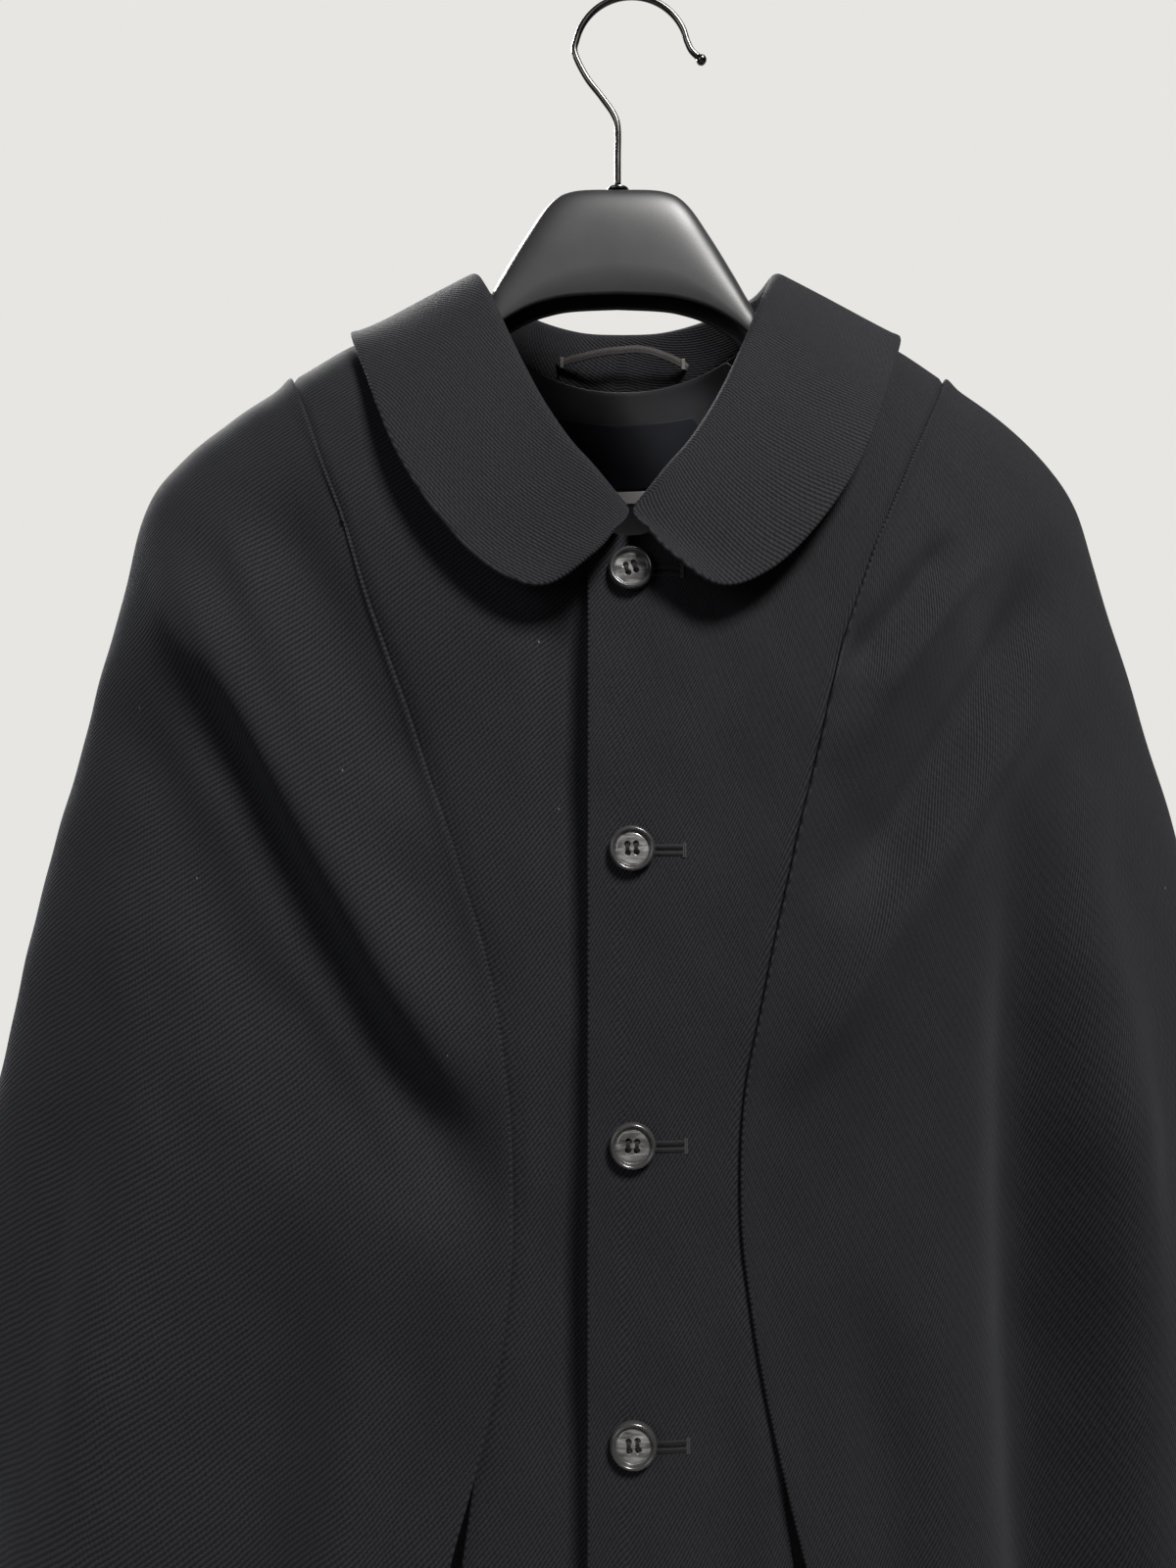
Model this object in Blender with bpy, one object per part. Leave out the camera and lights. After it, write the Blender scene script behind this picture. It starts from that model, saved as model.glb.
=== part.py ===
"""Cape coat with a round collar, buttoned and hung on a hanger.

The coat is one open form made of rings. Ring 0 is the neck seam and the last
ring is the hem. Between them the rings run out over the shoulders and down,
so every panel is a patch of the same form, cut along the seams.

A place on the form has two values: turn, the angle round the coat from the
centre front (0) past the wearer's left side (90 degrees) to the centre back
(180), and row, the place down the table of rings.

Units are metres. X is to the wearer's left, Y to the back and Z up. The
origin is where the hook of the hanger bears on a rail.
"""

import math

import bmesh
import bpy
import numpy as np
from mathutils import Vector

# Driving dimensions
CLOTH = 0.0020
SEAM_GAP = 0.0005
SQUARENESS = 2.4

LAP = 0.0195
LAP_LIFT = 0.0032
LAP_SINK = 0.0016
LAP_FADE = 0.030

SLIT_TOP = -0.648
SLIT_LENGTH = 0.240
SLIT_GAP = 0.0040
SLIT_LIFT = 0.006

COLLAR_CLOTH = 0.0018
COLLAR_ROLL = 0.0042
COLLAR_CLEAR = 0.0046

LINING = 0.0010
LABEL = 0.0010
LABEL_ROWS = (3.0, 11.4)
CARE_ROWS = (11.8, 15.5)

BUTTON_RADIUS = 0.0100
BUTTON_THICK = 0.0040
BUTTON_HOLE = 0.0011
BUTTON_HOLE_PITCH = 0.0037
BUTTON_X = 0.0040
BUTTON_HEIGHTS = (-0.2995, -0.4230, -0.5495, -0.6725, -0.7980)

WIRE = 0.0032
HOOK_RADIUS = 0.0270
HOOK_CENTRE_X = 0.0070
STEM_TOP = -0.0640
HANGER_TOP = -0.0965
FERRULE_RADIUS = 0.0056
FERRULE_HEIGHT = 0.0030
HANGER_WALL = 0.0026

# Rings from the neck to the hem.
# half_width, side_z, front_y, front_z, back_y, back_z, middle_x
RINGS = np.array((
    (0.0750, -0.155, -0.066, -0.283, 0.066, -0.176, 0.0040),
    (0.1050, -0.164, -0.069, -0.302, 0.070, -0.196, 0.0034),
    (0.1360, -0.176, -0.072, -0.322, 0.073, -0.218, 0.0018),
    (0.1655, -0.194, -0.075, -0.343, 0.076, -0.243, 0.0000),
    (0.1960, -0.216, -0.077, -0.365, 0.078, -0.270, -0.0018),
    (0.2180, -0.236, -0.079, -0.388, 0.080, -0.298, -0.0030),
    (0.2310, -0.255, -0.081, -0.412, 0.082, -0.326, -0.0034),
    (0.2395, -0.283, -0.083, -0.438, 0.083, -0.358, -0.0032),
    (0.2515, -0.326, -0.085, -0.470, 0.085, -0.402, -0.0024),
    (0.2665, -0.378, -0.087, -0.510, 0.087, -0.454, -0.0014),
    (0.2840, -0.438, -0.090, -0.555, 0.090, -0.512, -0.0006),
    (0.3040, -0.522, -0.095, -0.615, 0.093, -0.585, 0.0000),
    (0.3280, -0.628, -0.102, -0.692, 0.098, -0.675, 0.0000),
    (0.3540, -0.750, -0.110, -0.785, 0.104, -0.778, 0.0000),
    (0.3820, -0.900, -0.119, -0.915, 0.111, -0.913, 0.0000),
    (0.4120, -1.085, -0.130, -1.085, 0.120, -1.085, 0.0000),
))
LAST_ROW = len(RINGS) - 1
NECK_X = RINGS[0, 6]

# Where the seams between the body and the capes run, from the top of a shoulder
# to the hem, as places on the form with the turns in degrees. The middle row is
# where the line of a panel that ends there meets the middle of the coat.
# middle_row, front_row, right_turn, left_turn, back_row, back_turn
SEAMS = np.array((
    (1.200, 2.930, 90.0, 90.0, 2.930, 90.0),
    (1.650, 2.900, 74.5, 72.0, 3.000, 101.0),
    (2.150, 2.990, 59.0, 52.8, 3.150, 110.0),
    (2.750, 3.325, 42.4, 38.2, 3.450, 120.5),
    (3.500, 3.950, 30.5, 28.2, 4.000, 131.5),
    (4.500, 4.840, 22.0, 22.3, 4.840, 140.5),
    (5.800, 6.050, 16.4, 18.1, 6.050, 147.0),
    (7.050, 7.225, 12.5, 14.8, 7.225, 151.0),
    (8.300, 8.410, 9.1, 11.2, 8.410, 155.0),
    (9.400, 9.460, 7.3, 8.3, 9.460, 158.3),
    (10.400, 10.410, 6.5, 7.1, 10.410, 160.4),
    (11.100, 11.100, 6.5, 7.3, 11.100, 161.4),
    (11.775, 11.775, 7.4, 8.2, 11.775, 162.0),
    (12.400, 12.400, 8.5, 9.0, 12.400, 162.1),
    (13.500, 13.500, 10.1, 10.6, 13.500, 161.6),
    (15.000, 15.000, 14.0, 14.4, 15.000, 159.8),
))
CAPE_CORNER = 3.0 / (len(SEAMS) - 1)

# The largest folds, seen from the front or the back, as lines from a start to
# an end with a height outwards (a trough is negative) and a width at each end.
# face, start_x, start_z, end_x, end_z, height, start_width, end_width
FRONT = 1
BACK = -1
FOLDS = (
    (FRONT, -0.236, -0.268, -0.058, -0.560, 0.0075, 0.016, 0.026),
    (FRONT, -0.250, -0.330, -0.098, -0.600, -0.0085, 0.018, 0.030),
    (FRONT, -0.176, -0.240, -0.078, -0.420, -0.0060, 0.016, 0.018),
    (FRONT, -0.140, -0.540, -0.200, -1.085, -0.0130, 0.022, 0.040),
    (FRONT, -0.215, -0.520, -0.285, -1.085, 0.0140, 0.026, 0.042),
    (FRONT, -0.290, -0.640, -0.350, -1.085, -0.0120, 0.022, 0.034),
    (FRONT, 0.205, -0.270, 0.095, -0.460, -0.0065, 0.016, 0.022),
    (FRONT, 0.225, -0.290, 0.066, -0.545, 0.0065, 0.016, 0.024),
    (FRONT, 0.196, -0.520, 0.225, -1.085, -0.0130, 0.024, 0.042),
    (FRONT, 0.245, -0.500, 0.305, -1.085, 0.0120, 0.024, 0.040),
    (FRONT, 0.135, -0.560, 0.160, -1.085, 0.0090, 0.024, 0.036),
    (BACK, -0.220, -0.270, -0.120, -0.560, 0.0060, 0.018, 0.030),
    (BACK, 0.222, -0.270, 0.128, -0.590, 0.0060, 0.018, 0.030),
    (BACK, -0.200, -0.480, -0.235, -1.085, -0.0120, 0.026, 0.042),
    (BACK, 0.190, -0.500, 0.240, -1.085, -0.0130, 0.026, 0.042),
    (BACK, -0.270, -0.600, -0.315, -1.085, 0.0110, 0.026, 0.038),
    (BACK, 0.275, -0.580, 0.320, -1.085, 0.0100, 0.026, 0.038),
    (BACK, -0.050, -0.620, -0.065, -1.085, 0.0080, 0.028, 0.040),
    (BACK, 0.060, -0.560, 0.070, -1.085, 0.0070, 0.028, 0.042),
)

# Sections of the collar from the centre front round to the centre back.
# neck_turn, roll_x, roll_y, roll_z, edge_x, edge_y, edge_z
COLLAR = np.array((
    (4.5, 0.0034, -0.0720, -0.2690, 0.0095, -0.0795, -0.2825),
    (12.0, 0.0085, -0.0700, -0.2615, 0.0200, -0.0810, -0.2950),
    (17.5, 0.0160, -0.0670, -0.2510, 0.0390, -0.0830, -0.3070),
    (27.5, 0.0270, -0.0620, -0.2375, 0.0610, -0.0815, -0.2990),
    (39.0, 0.0400, -0.0530, -0.2160, 0.0830, -0.0770, -0.2770),
    (54.0, 0.0530, -0.0400, -0.1880, 0.1040, -0.0670, -0.2450),
    (67.0, 0.0650, -0.0220, -0.1580, 0.1210, -0.0460, -0.2050),
    (90.0, 0.0730, 0.0020, -0.1380, 0.1350, -0.0030, -0.1690),
    (115.0, 0.0670, 0.0330, -0.1370, 0.1180, 0.0460, -0.1800),
    (140.0, 0.0450, 0.0580, -0.1390, 0.0780, 0.0790, -0.2000),
    (160.0, 0.0220, 0.0700, -0.1410, 0.0380, 0.0900, -0.2110),
    (180.0, 0.0000, 0.0730, -0.1410, 0.0000, 0.0930, -0.2140),
))

# Sections of the hanger from the middle to a tip.
# x, top_z, bottom_z, half_depth, centre_y
HANGER = np.array((
    (0.000, -0.0965, -0.1500, 0.0115, 0.000),
    (0.022, -0.0970, -0.1510, 0.0115, 0.000),
    (0.034, -0.1030, -0.1530, 0.0116, 0.000),
    (0.046, -0.1195, -0.1570, 0.0118, 0.000),
    (0.058, -0.1390, -0.1640, 0.0120, 0.000),
    (0.066, -0.1530, -0.1710, 0.0122, 0.000),
    (0.074, -0.1640, -0.1785, 0.0125, 0.000),
    (0.105, -0.1695, -0.1960, 0.0125, 0.000),
    (0.136, -0.1802, -0.2110, 0.0116, 0.000),
    (0.165, -0.1990, -0.2270, 0.0112, 0.000),
    (0.194, -0.2200, -0.2450, 0.0135, 0.000),
    (0.211, -0.2375, -0.2560, 0.0140, 0.000),
    (0.2175, -0.2460, -0.2590, 0.0120, 0.000),
))

# Grid sizes of the panels, in steps round and down.
FRONT_STEPS = 8
BACK_STEPS = 16
SHOULDER_STEPS = 4
TOP_STEPS = 9
SEAM_ROWS = 25
COLLAR_STEPS = 19

# colour, roughness, metallic
FINISHES = {
    "wool": ((0.018, 0.018, 0.021), 0.85, 0.0),
    "satin_lining": ((0.030, 0.030, 0.034), 0.45, 0.0),
    "tape": ((0.120, 0.110, 0.100), 0.60, 0.0),
    "label_cloth": ((0.020, 0.022, 0.035), 0.70, 0.0),
    "white_label": ((0.750, 0.740, 0.720), 0.70, 0.0),
    "horn": ((0.050, 0.047, 0.045), 0.28, 0.0),
    "hanger_plastic": ((0.030, 0.030, 0.032), 0.38, 0.0),
    "gunmetal": ((0.250, 0.240, 0.230), 0.25, 1.0),
}


def smoothstep(value):
    """An even step from 0 to 1, level at both ends."""
    t = np.clip(value, 0.0, 1.0)
    return t * t * (3.0 - 2.0 * t)


def along(table, place):
    """Smooth rows between the rows of a table, at places counted in rows."""
    place = np.clip(np.asarray(place, float), 0.0, len(table) - 1.0)
    i = np.minimum(place.astype(int), len(table) - 2)
    t = (place - i)[..., None]
    before = table[np.maximum(i - 1, 0)]
    here = table[i]
    there = table[i + 1]
    after = table[np.minimum(i + 2, len(table) - 1)]
    leave = (there - before) / 2
    arrive = (after - here) / 2
    return ((2 * t**3 - 3 * t**2 + 1) * here + (t**3 - 2 * t**2 + t) * leave
            + (3 * t**2 - 2 * t**3) * there + (t**3 - t**2) * arrive)


def row_of(table, column, value):
    """The place in a table at which a falling column has a value."""
    values = table[:, column]
    return np.interp(-np.asarray(value), -values, np.arange(len(values)))


def bare_form(turn, row):
    """Points of the form before its folds."""
    ring = along(RINGS, row)
    half_width, side_z, front_y, front_z, back_y, back_z, middle_x = np.moveaxis(ring, -1, 0)
    s = np.sin(turn)
    c = np.cos(turn)
    out = np.sign(s) * np.abs(s) ** (2.0 / SQUARENESS)
    y = np.where(c > 0, front_y, -back_y) * c
    middle_z = np.where(c > 0, front_z, back_z)
    return np.stack((middle_x + half_width * out, y,
                     middle_z + (side_z - middle_z) * out**2), axis=-1)


def across(function, turn, row):
    """Unit directions out of a surface, from its slopes round and down."""
    step = 0.004
    round_it = function(turn + step, row) - function(turn - step, row)
    down = function(turn, np.minimum(row + step, LAST_ROW))
    down = down - function(turn, np.maximum(row - step, 0))
    out = np.cross(down, round_it)
    return out / np.linalg.norm(out, axis=-1, keepdims=True)


def fold_height(point, face_side):
    """How far the folds stand out at points, each a soft ridge on a line."""
    x = point[..., 0]
    z = point[..., 2]
    height = np.zeros_like(x)
    for face, x0, z0, x1, z1, rise, wide0, wide1 in FOLDS:
        length = math.hypot(x1 - x0, z1 - z0)
        ux = (x1 - x0) / length
        uz = (z1 - z0) / length
        far = ((x - x0) * ux + (z - z0) * uz) / length
        off = (x - x0) * uz - (z - z0) * ux
        wide = wide0 + (wide1 - wide0) * np.clip(far, 0, 1)
        fade = smoothstep(far / 0.25)
        if z1 > RINGS[LAST_ROW, 1]:
            fade = fade * smoothstep((1.0 - far) / 0.25)
        height = height + rise * fade * np.exp(-(off / wide) ** 2) * (face_side == face)
    return height


def form(turn, row):
    """Points of the coat's outer face, with the largest folds."""
    point = bare_form(turn, row)
    c = np.cos(turn)
    depth = smoothstep(np.abs(c) / 0.35)
    rise = fold_height(point, np.where(c > 0, FRONT, BACK)) * depth
    return point + rise[..., None] * across(bare_form, turn, row)


def shell(turn, row, lift=0.0):
    """Outer and inner points of a cloth wall on the form."""
    out = across(form, turn, row)
    outer = form(turn, row) + np.asarray(lift)[..., None] * out
    return outer, outer - CLOTH * out


def seam_line(side, face, place):
    """Places on the form along a seam, with places counted from 0 to 1."""
    seam = along(SEAMS, (len(SEAMS) - 1.0) * place)
    if face == BACK:
        return np.stack((side * np.radians(seam[:, 5]), seam[:, 4]), axis=-1)
    turn = seam[:, 3] if side > 0 else seam[:, 2]
    return np.stack((side * np.radians(turn), seam[:, 1]), axis=-1)


def turn_at_x(x, row):
    """The turn on the front at a given distance from the middle."""
    ring = along(RINGS, row)
    ratio = np.clip((x - ring[..., 6]) / ring[..., 0], -1, 1)
    return np.arcsin(np.sign(ratio) * np.abs(ratio) ** (SQUARENESS / 2))


def gap_turn(distance, row):
    """The change of turn that moves a seam's edge by a distance."""
    ring = along(RINGS, row)
    return distance / (0.5 * (ring[..., 0] - ring[..., 2]))


def patch(top, bottom, left, right):
    """Places inside four edges, blended from the edges across and down."""
    a = np.linspace(0.0, 1.0, len(top))[None, :, None]
    b = np.linspace(0.0, 1.0, len(left))[:, None, None]
    across_it = (1 - b) * top[None] + b * bottom[None]
    down_it = (1 - a) * left[:, None] + a * right[:, None]
    corners = ((1 - a) * (1 - b) * top[0] + a * (1 - b) * top[-1]
               + (1 - a) * b * bottom[0] + a * b * bottom[-1])
    return across_it + down_it - corners


def inset(grid, distance):
    """A grid with its four sides drawn in, which leaves the gap of a seam.

    Each side moves square to itself, towards the points beside it.
    """
    moved = grid.copy()
    everywhere = slice(None)
    for edge, beside in ((0, 1), (-1, -2), ((everywhere, 0), (everywhere, 1)),
                         ((everywhere, -1), (everywhere, -2))):
        line = np.gradient(grid[edge], axis=0)
        line /= np.linalg.norm(line, axis=-1, keepdims=True)
        way = grid[beside] - grid[edge]
        way -= (way * line).sum(axis=-1, keepdims=True) * line
        moved[edge] += distance * way / np.linalg.norm(way, axis=-1, keepdims=True)
    return moved


def new_object(name, points, faces, finish):
    """A closed solid with its own material, faced outwards."""
    mesh = bpy.data.meshes.new(name)
    mesh.from_pydata([tuple(p) for p in points], [], [tuple(f) for f in faces])
    work = bmesh.new()
    work.from_mesh(mesh)
    bmesh.ops.remove_doubles(work, verts=work.verts, dist=1e-7)
    bmesh.ops.triangulate(work, faces=work.faces)
    bmesh.ops.recalc_face_normals(work, faces=work.faces)
    work.to_mesh(mesh)
    work.free()
    colour, roughness, metallic = FINISHES[finish]
    material = bpy.data.materials.get(finish) or bpy.data.materials.new(finish)
    material.use_nodes = True
    shader = material.node_tree.nodes["Principled BSDF"]
    shader.inputs["Base Color"].default_value = (*colour, 1.0)
    shader.inputs["Roughness"].default_value = roughness
    shader.inputs["Metallic"].default_value = metallic
    mesh.materials.append(material)
    item = bpy.data.objects.new(name, mesh)
    bpy.context.collection.objects.link(item)
    return item


def wall(name, outer, inner, finish):
    """A solid between two grids of points, closed by a rim on all four sides."""
    rows, columns = outer.shape[:2]
    count = rows * columns
    index = np.arange(count).reshape(rows, columns)
    a = index[:-1, :-1].ravel()
    b = index[:-1, 1:].ravel()
    c = index[1:, 1:].ravel()
    d = index[1:, :-1].ravel()
    faces = [np.stack((a, b, c, d), 1), np.stack((d, c, b, a), 1) + count]
    rim = np.concatenate((index[0, :-1], index[:-1, -1], index[-1, :0:-1], index[:0:-1, 0]))
    then = np.roll(rim, -1)
    faces.append(np.stack((then, rim, rim + count, then + count), 1))
    points = np.concatenate((outer.reshape(-1, 3), inner.reshape(-1, 3)))
    return new_object(name, points, np.concatenate(faces).tolist(), finish)


def closed_tube(name, rings, finish):
    """A solid through closed sections, with a flat cap at each end."""
    count, sides = rings.shape[:2]
    index = np.arange(count * sides).reshape(count, sides)
    turned = np.roll(index, -1, axis=1)
    faces = np.stack((index[:-1], turned[:-1], turned[1:], index[1:]), -1).reshape(-1, 4).tolist()
    faces.append(index[0, ::-1].tolist())
    faces.append(index[-1].tolist())
    return new_object(name, rings.reshape(-1, 3), faces, finish)


def seam_places():
    """Places from the top of a seam to the hem, as two runs that join.

    The first run is the top edge of a cape and the second its side. The
    fronts, the back and the capes share them, so their edges match.
    """
    top = np.linspace(0.0, CAPE_CORNER, TOP_STEPS + 1)
    side = CAPE_CORNER + (1.0 - CAPE_CORNER) * np.linspace(0.0, 1.0, SEAM_ROWS + 1)
    return top, side


def body_edge(side, face):
    """The outer edge of a front or of half the back, and its middle rows.

    The edge runs out along the shoulder and then down the seam.
    """
    top, low = seam_places()
    place = np.concatenate((top, low[1:]))
    seam = seam_line(side, face, place)
    middle = along(SEAMS, (len(SEAMS) - 1.0) * place)[:, 0]
    t = np.linspace(0.0, 1.0, SHOULDER_STEPS + 1)[:-1]
    shoulder = np.stack((np.full_like(t, side * math.pi / 2), t * seam[0, 1]), axis=-1)
    return np.concatenate((shoulder, seam)), np.concatenate((t * middle[0], middle))


def slit(point_z):
    """How far the arm slit is open at a height, from 0 to 1."""
    t = np.clip((SLIT_TOP - point_z) / SLIT_LENGTH, 0, 1)
    return np.sin(math.pi * t) ** 2


def lap_lift(x, amount):
    """The lift of a front near its lapped edge, fading away from it."""
    return amount * (1.0 - smoothstep((x - 0.012) / LAP_FADE))


def front(name, side):
    """A front panel, from its lapped edge to the shoulder and princess seam.

    The wearer's left front lies over the right one, so it is lifted near the
    middle, and the right front sinks a little under it.
    """
    end, row = body_edge(side, FRONT)
    start = np.stack((turn_at_x(np.full_like(row, BUTTON_X - side * LAP), row), row), axis=-1)
    t = np.linspace(0.0, 1.0, FRONT_STEPS + 1)[:, None]
    turn, row = np.moveaxis(start[:, None] + t * (end - start)[:, None], -1, 0)
    x = side * (form(turn, row)[..., 0] - BUTTON_X)
    outer, inner = shell(turn, row, lap_lift(x, LAP_LIFT if side > 0 else -LAP_SINK))
    return wall(name, inset(outer, SEAM_GAP / 2), inset(inner, SEAM_GAP / 2), "wool")


def cape(name, side):
    """A cape, hung from a seam that runs over the shoulder.

    Its top edge is the seam from the front over the shoulder to the back, and
    its sides are the seams down the front and the back. Below SLIT_TOP its
    front edge is free of the seam and stands off the front panel, which
    leaves the slit for the arm.
    """
    over, down = seam_places()
    top = np.concatenate((seam_line(side, FRONT, over[::-1]), seam_line(side, BACK, over[1:])))
    start = seam_line(side, FRONT, down)
    end = seam_line(side, BACK, down)
    open_slit = slit(bare_form(start[:, 0], start[:, 1])[:, 2])
    start[:, 0] += side * gap_turn(SLIT_GAP * open_slit, start[:, 1])
    inward = np.linspace(0.0, 1.0, len(top))
    hem = start[-1] + inward[:, None] * (end[-1] - start[-1])
    turn, row = np.moveaxis(patch(top, hem, start, end), -1, 0)
    lift = SLIT_LIFT * open_slit[:, None] * (1.0 - smoothstep(inward / 0.18))
    outer, inner = shell(turn, row, lift)
    return wall(name, inset(outer, SEAM_GAP / 2), inset(inner, SEAM_GAP / 2), "wool")


def back_grid():
    """Outer and inner points of the back, from one back seam to the other."""
    left, middle = body_edge(1, BACK)
    right, _ = body_edge(-1, BACK)
    right = right + (2 * math.pi, 0.0)
    t = np.linspace(-1.0, 1.0, BACK_STEPS + 1)
    turn = left[:, :1] + (right - left)[:, :1] * (t + 1) / 2
    row = middle[:, None] + (left[:, 1] - middle)[:, None] * t**2
    outer, inner = shell(turn, row)
    return inset(outer, SEAM_GAP / 2), inset(inner, SEAM_GAP / 2)


def back(name):
    """The back of the coat."""
    outer, inner = back_grid()
    return wall(name, outer, inner, "wool")


def clear_of_coat(point, clearance):
    """Points moved out until they stand clear of the coat's outer face."""
    turn, row = np.meshgrid(np.radians(np.arange(-180, 180, 2.0)), np.linspace(0, 6, 70))
    face = form(turn, row).reshape(-1, 3)
    out = across(form, turn, row).reshape(-1, 3)
    face = face + lap_lift(np.abs(face[:, :1] - BUTTON_X), LAP_LIFT) * out
    moved = point.reshape(-1, 3).copy()
    for i, p in enumerate(moved):
        near = np.argmin(((face - p) ** 2).sum(axis=1))
        depth = (p - face[near]) @ out[near]
        moved[i] = p + max(0.0, clearance - depth) * out[near]
    return moved.reshape(point.shape)


def collar_faces():
    """The collar's shown face: up the stand, over the roll and down the fall."""
    place = (len(COLLAR) - 1.0) * np.linspace(0.0, 1.0, COLLAR_STEPS + 1) ** 1.1
    half = along(COLLAR, place)
    mirror = half[::-1][1:].copy()
    mirror[:, 0] = 360.0 - mirror[:, 0]
    mirror[:, [1, 4]] *= -1
    both = np.concatenate((half, mirror))
    turn = np.radians(both[:, 0])
    roll = both[:, 1:4] + (NECK_X, 0, 0)
    edge = both[:, 4:7] + (NECK_X, 0, 0)
    seat = np.zeros_like(turn)
    neck = form(turn, seat)
    rise = 0.0015 + lap_lift(np.abs(neck[:, :1] - BUTTON_X), LAP_LIFT)
    neck = neck + rise * across(form, turn, seat)
    tangent = np.gradient(roll, axis=0)
    tangent /= np.linalg.norm(tangent, axis=1, keepdims=True)
    up = 2 * roll - neck - edge
    up -= (up * tangent).sum(1, keepdims=True) * tangent
    up /= np.linalg.norm(up, axis=1, keepdims=True)
    away = np.cross(tangent, up)
    away *= np.sign((away * (edge - neck)).sum(1, keepdims=True))
    reach = np.linalg.norm(roll - neck, axis=1)
    radius = np.minimum(COLLAR_ROLL, 0.34 * reach)[:, None]
    centre = roll - radius * up
    profile = [neck, (neck + centre - radius * away) / 2]
    for angle in np.radians((0, 60, 120, 180)):
        profile.append(centre + radius * (np.sin(angle) * up - np.cos(angle) * away))
    start = profile[-1]
    for t in (0.33, 0.67, 1.0):
        fall = start + t * (edge - start) + 0.004 * math.sin(math.pi * t) * up
        profile.append(clear_of_coat(fall, COLLAR_CLEAR))
    return np.stack(profile, axis=1)


def grid_normals(grid):
    """Unit directions out of a grid of points."""
    out = np.cross(np.gradient(grid, axis=0), np.gradient(grid, axis=1))
    return out / np.linalg.norm(out, axis=-1, keepdims=True)


def collar(name):
    """The collar, thickened on its hidden side."""
    face = collar_faces()
    out = grid_normals(face)
    middle = out[len(face) // 2, -1]
    if middle[1] < 0:
        out = -out
    return wall(name, face, face - COLLAR_CLOTH * out, "wool")


def inside_back(name, rows, columns, depth, thick, finish):
    """A flat piece laid on the inside of the back, made from its points.

    Its rows and columns are places in the back's own grid, and points between
    the grid's points are blended from the four round them.
    """
    outer, inner = back_grid()
    inward = (inner - outer) / CLOTH
    i, j = np.meshgrid(rows, columns, indexing="ij")
    i0 = np.minimum(i.astype(int), outer.shape[0] - 2)
    j0 = np.minimum(j.astype(int), outer.shape[1] - 2)
    down = (i - i0)[..., None]
    side = (j - j0)[..., None]

    def blend(grid):
        top = grid[i0, j0] * (1 - side) + grid[i0, j0 + 1] * side
        low = grid[i0 + 1, j0] * (1 - side) + grid[i0 + 1, j0 + 1] * side
        return top * (1 - down) + low * down

    face = blend(inner) + depth * blend(inward)
    return wall(name, face, face + thick * blend(inward), finish)


def hanging_loop(name):
    """A tape sewn at both ends to the stand, bowed up and off it between."""
    face = collar_faces()
    middle = len(face) // 2
    low = face[middle, 0]
    high = face[middle, 2]
    s = np.linspace(-1.0, 1.0, 17)
    bow = 1.0 - s**2
    half_span = 0.036
    x = NECK_X + half_span * s
    seat_y = np.interp(np.abs(s) * half_span, (0, 0.022, 0.042),
                       (low[1], low[1] - 0.004, low[1] - 0.0135))
    z = high[2] - 0.0165 + 0.009 * bow
    y = seat_y + 0.0007 - 0.0110 * bow**0.8
    line = np.stack((x, y, z), axis=1)
    tall = np.array((0.0, 0.0, 0.0022))
    thick = np.array((0.0, -0.0011, 0.0))
    ring = np.stack((line - tall, line + tall, line + tall + thick, line - tall + thick), axis=1)
    return closed_tube(name, ring, "tape")


def button(name, height, spin):
    """A turned button with a raised rim and four holes, seated on the front."""
    row = row_of(RINGS, 3, height)
    turn = turn_at_x(BUTTON_X, row)
    outer, _ = shell(np.array([turn]), np.array([row]), np.array([LAP_LIFT]))
    out = across(form, np.array([turn]), np.array([row]))[0]
    right = np.array((1.0, 0.0, 0.0)) - out[0] * out
    right /= np.linalg.norm(right)
    up = np.cross(out, right)
    centre = outer[0] + 0.0006 * out
    # Lathe profile from the back to the front: share of the radius, share of the thickness.
    profile = ((0.00, 0.0), (0.80, 0.0), (1.00, 0.35), (1.00, 0.75), (0.90, 1.0), (0.78, 0.9),
               (0.66, 0.55), (0.00, 0.6))
    sides = 20
    angle = np.arange(sides) * 2 * math.pi / sides
    points = []
    for share, deep in profile:
        round_it = np.cos(angle)[:, None] * right + np.sin(angle)[:, None] * up
        ring = centre + share * BUTTON_RADIUS * round_it + deep * BUTTON_THICK * out
        points.append(ring if share else ring[:1])
    faces = []
    start = 1
    for k in range(1, len(profile) - 2):
        here = start + (k - 1) * sides
        for i in range(sides):
            j = (i + 1) % sides
            faces.append((here + i, here + j, here + sides + j, here + sides + i))
    last = start + (len(profile) - 2) * sides
    for i in range(sides):
        j = (i + 1) % sides
        faces.append((0, 1 + j, 1 + i))
        faces.append((last, last - sides + i, last - sides + j))
    item = new_object(name, np.concatenate(points), faces, "horn")
    lean = Vector(out).to_track_quat("Z", "Y").to_euler()
    for k in range(4):
        place = math.radians(45 + 90 * k + spin)
        reach = BUTTON_HOLE_PITCH / math.sqrt(2)
        middle = centre + reach * (math.cos(place) * right + math.sin(place) * up)
        bpy.ops.mesh.primitive_cylinder_add(vertices=8, radius=BUTTON_HOLE, depth=0.02,
                                            location=middle, rotation=lean)
        cutter = bpy.context.object
        cutter.name = f"{name}_hole_{k}"
        cutter.hide_render = True
        cutter.display_type = "WIRE"
        cut = item.modifiers.new("hole", "BOOLEAN")
        cut.operation = "DIFFERENCE"
        cut.solver = "EXACT"
        cut.object = cutter
    return item


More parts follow.
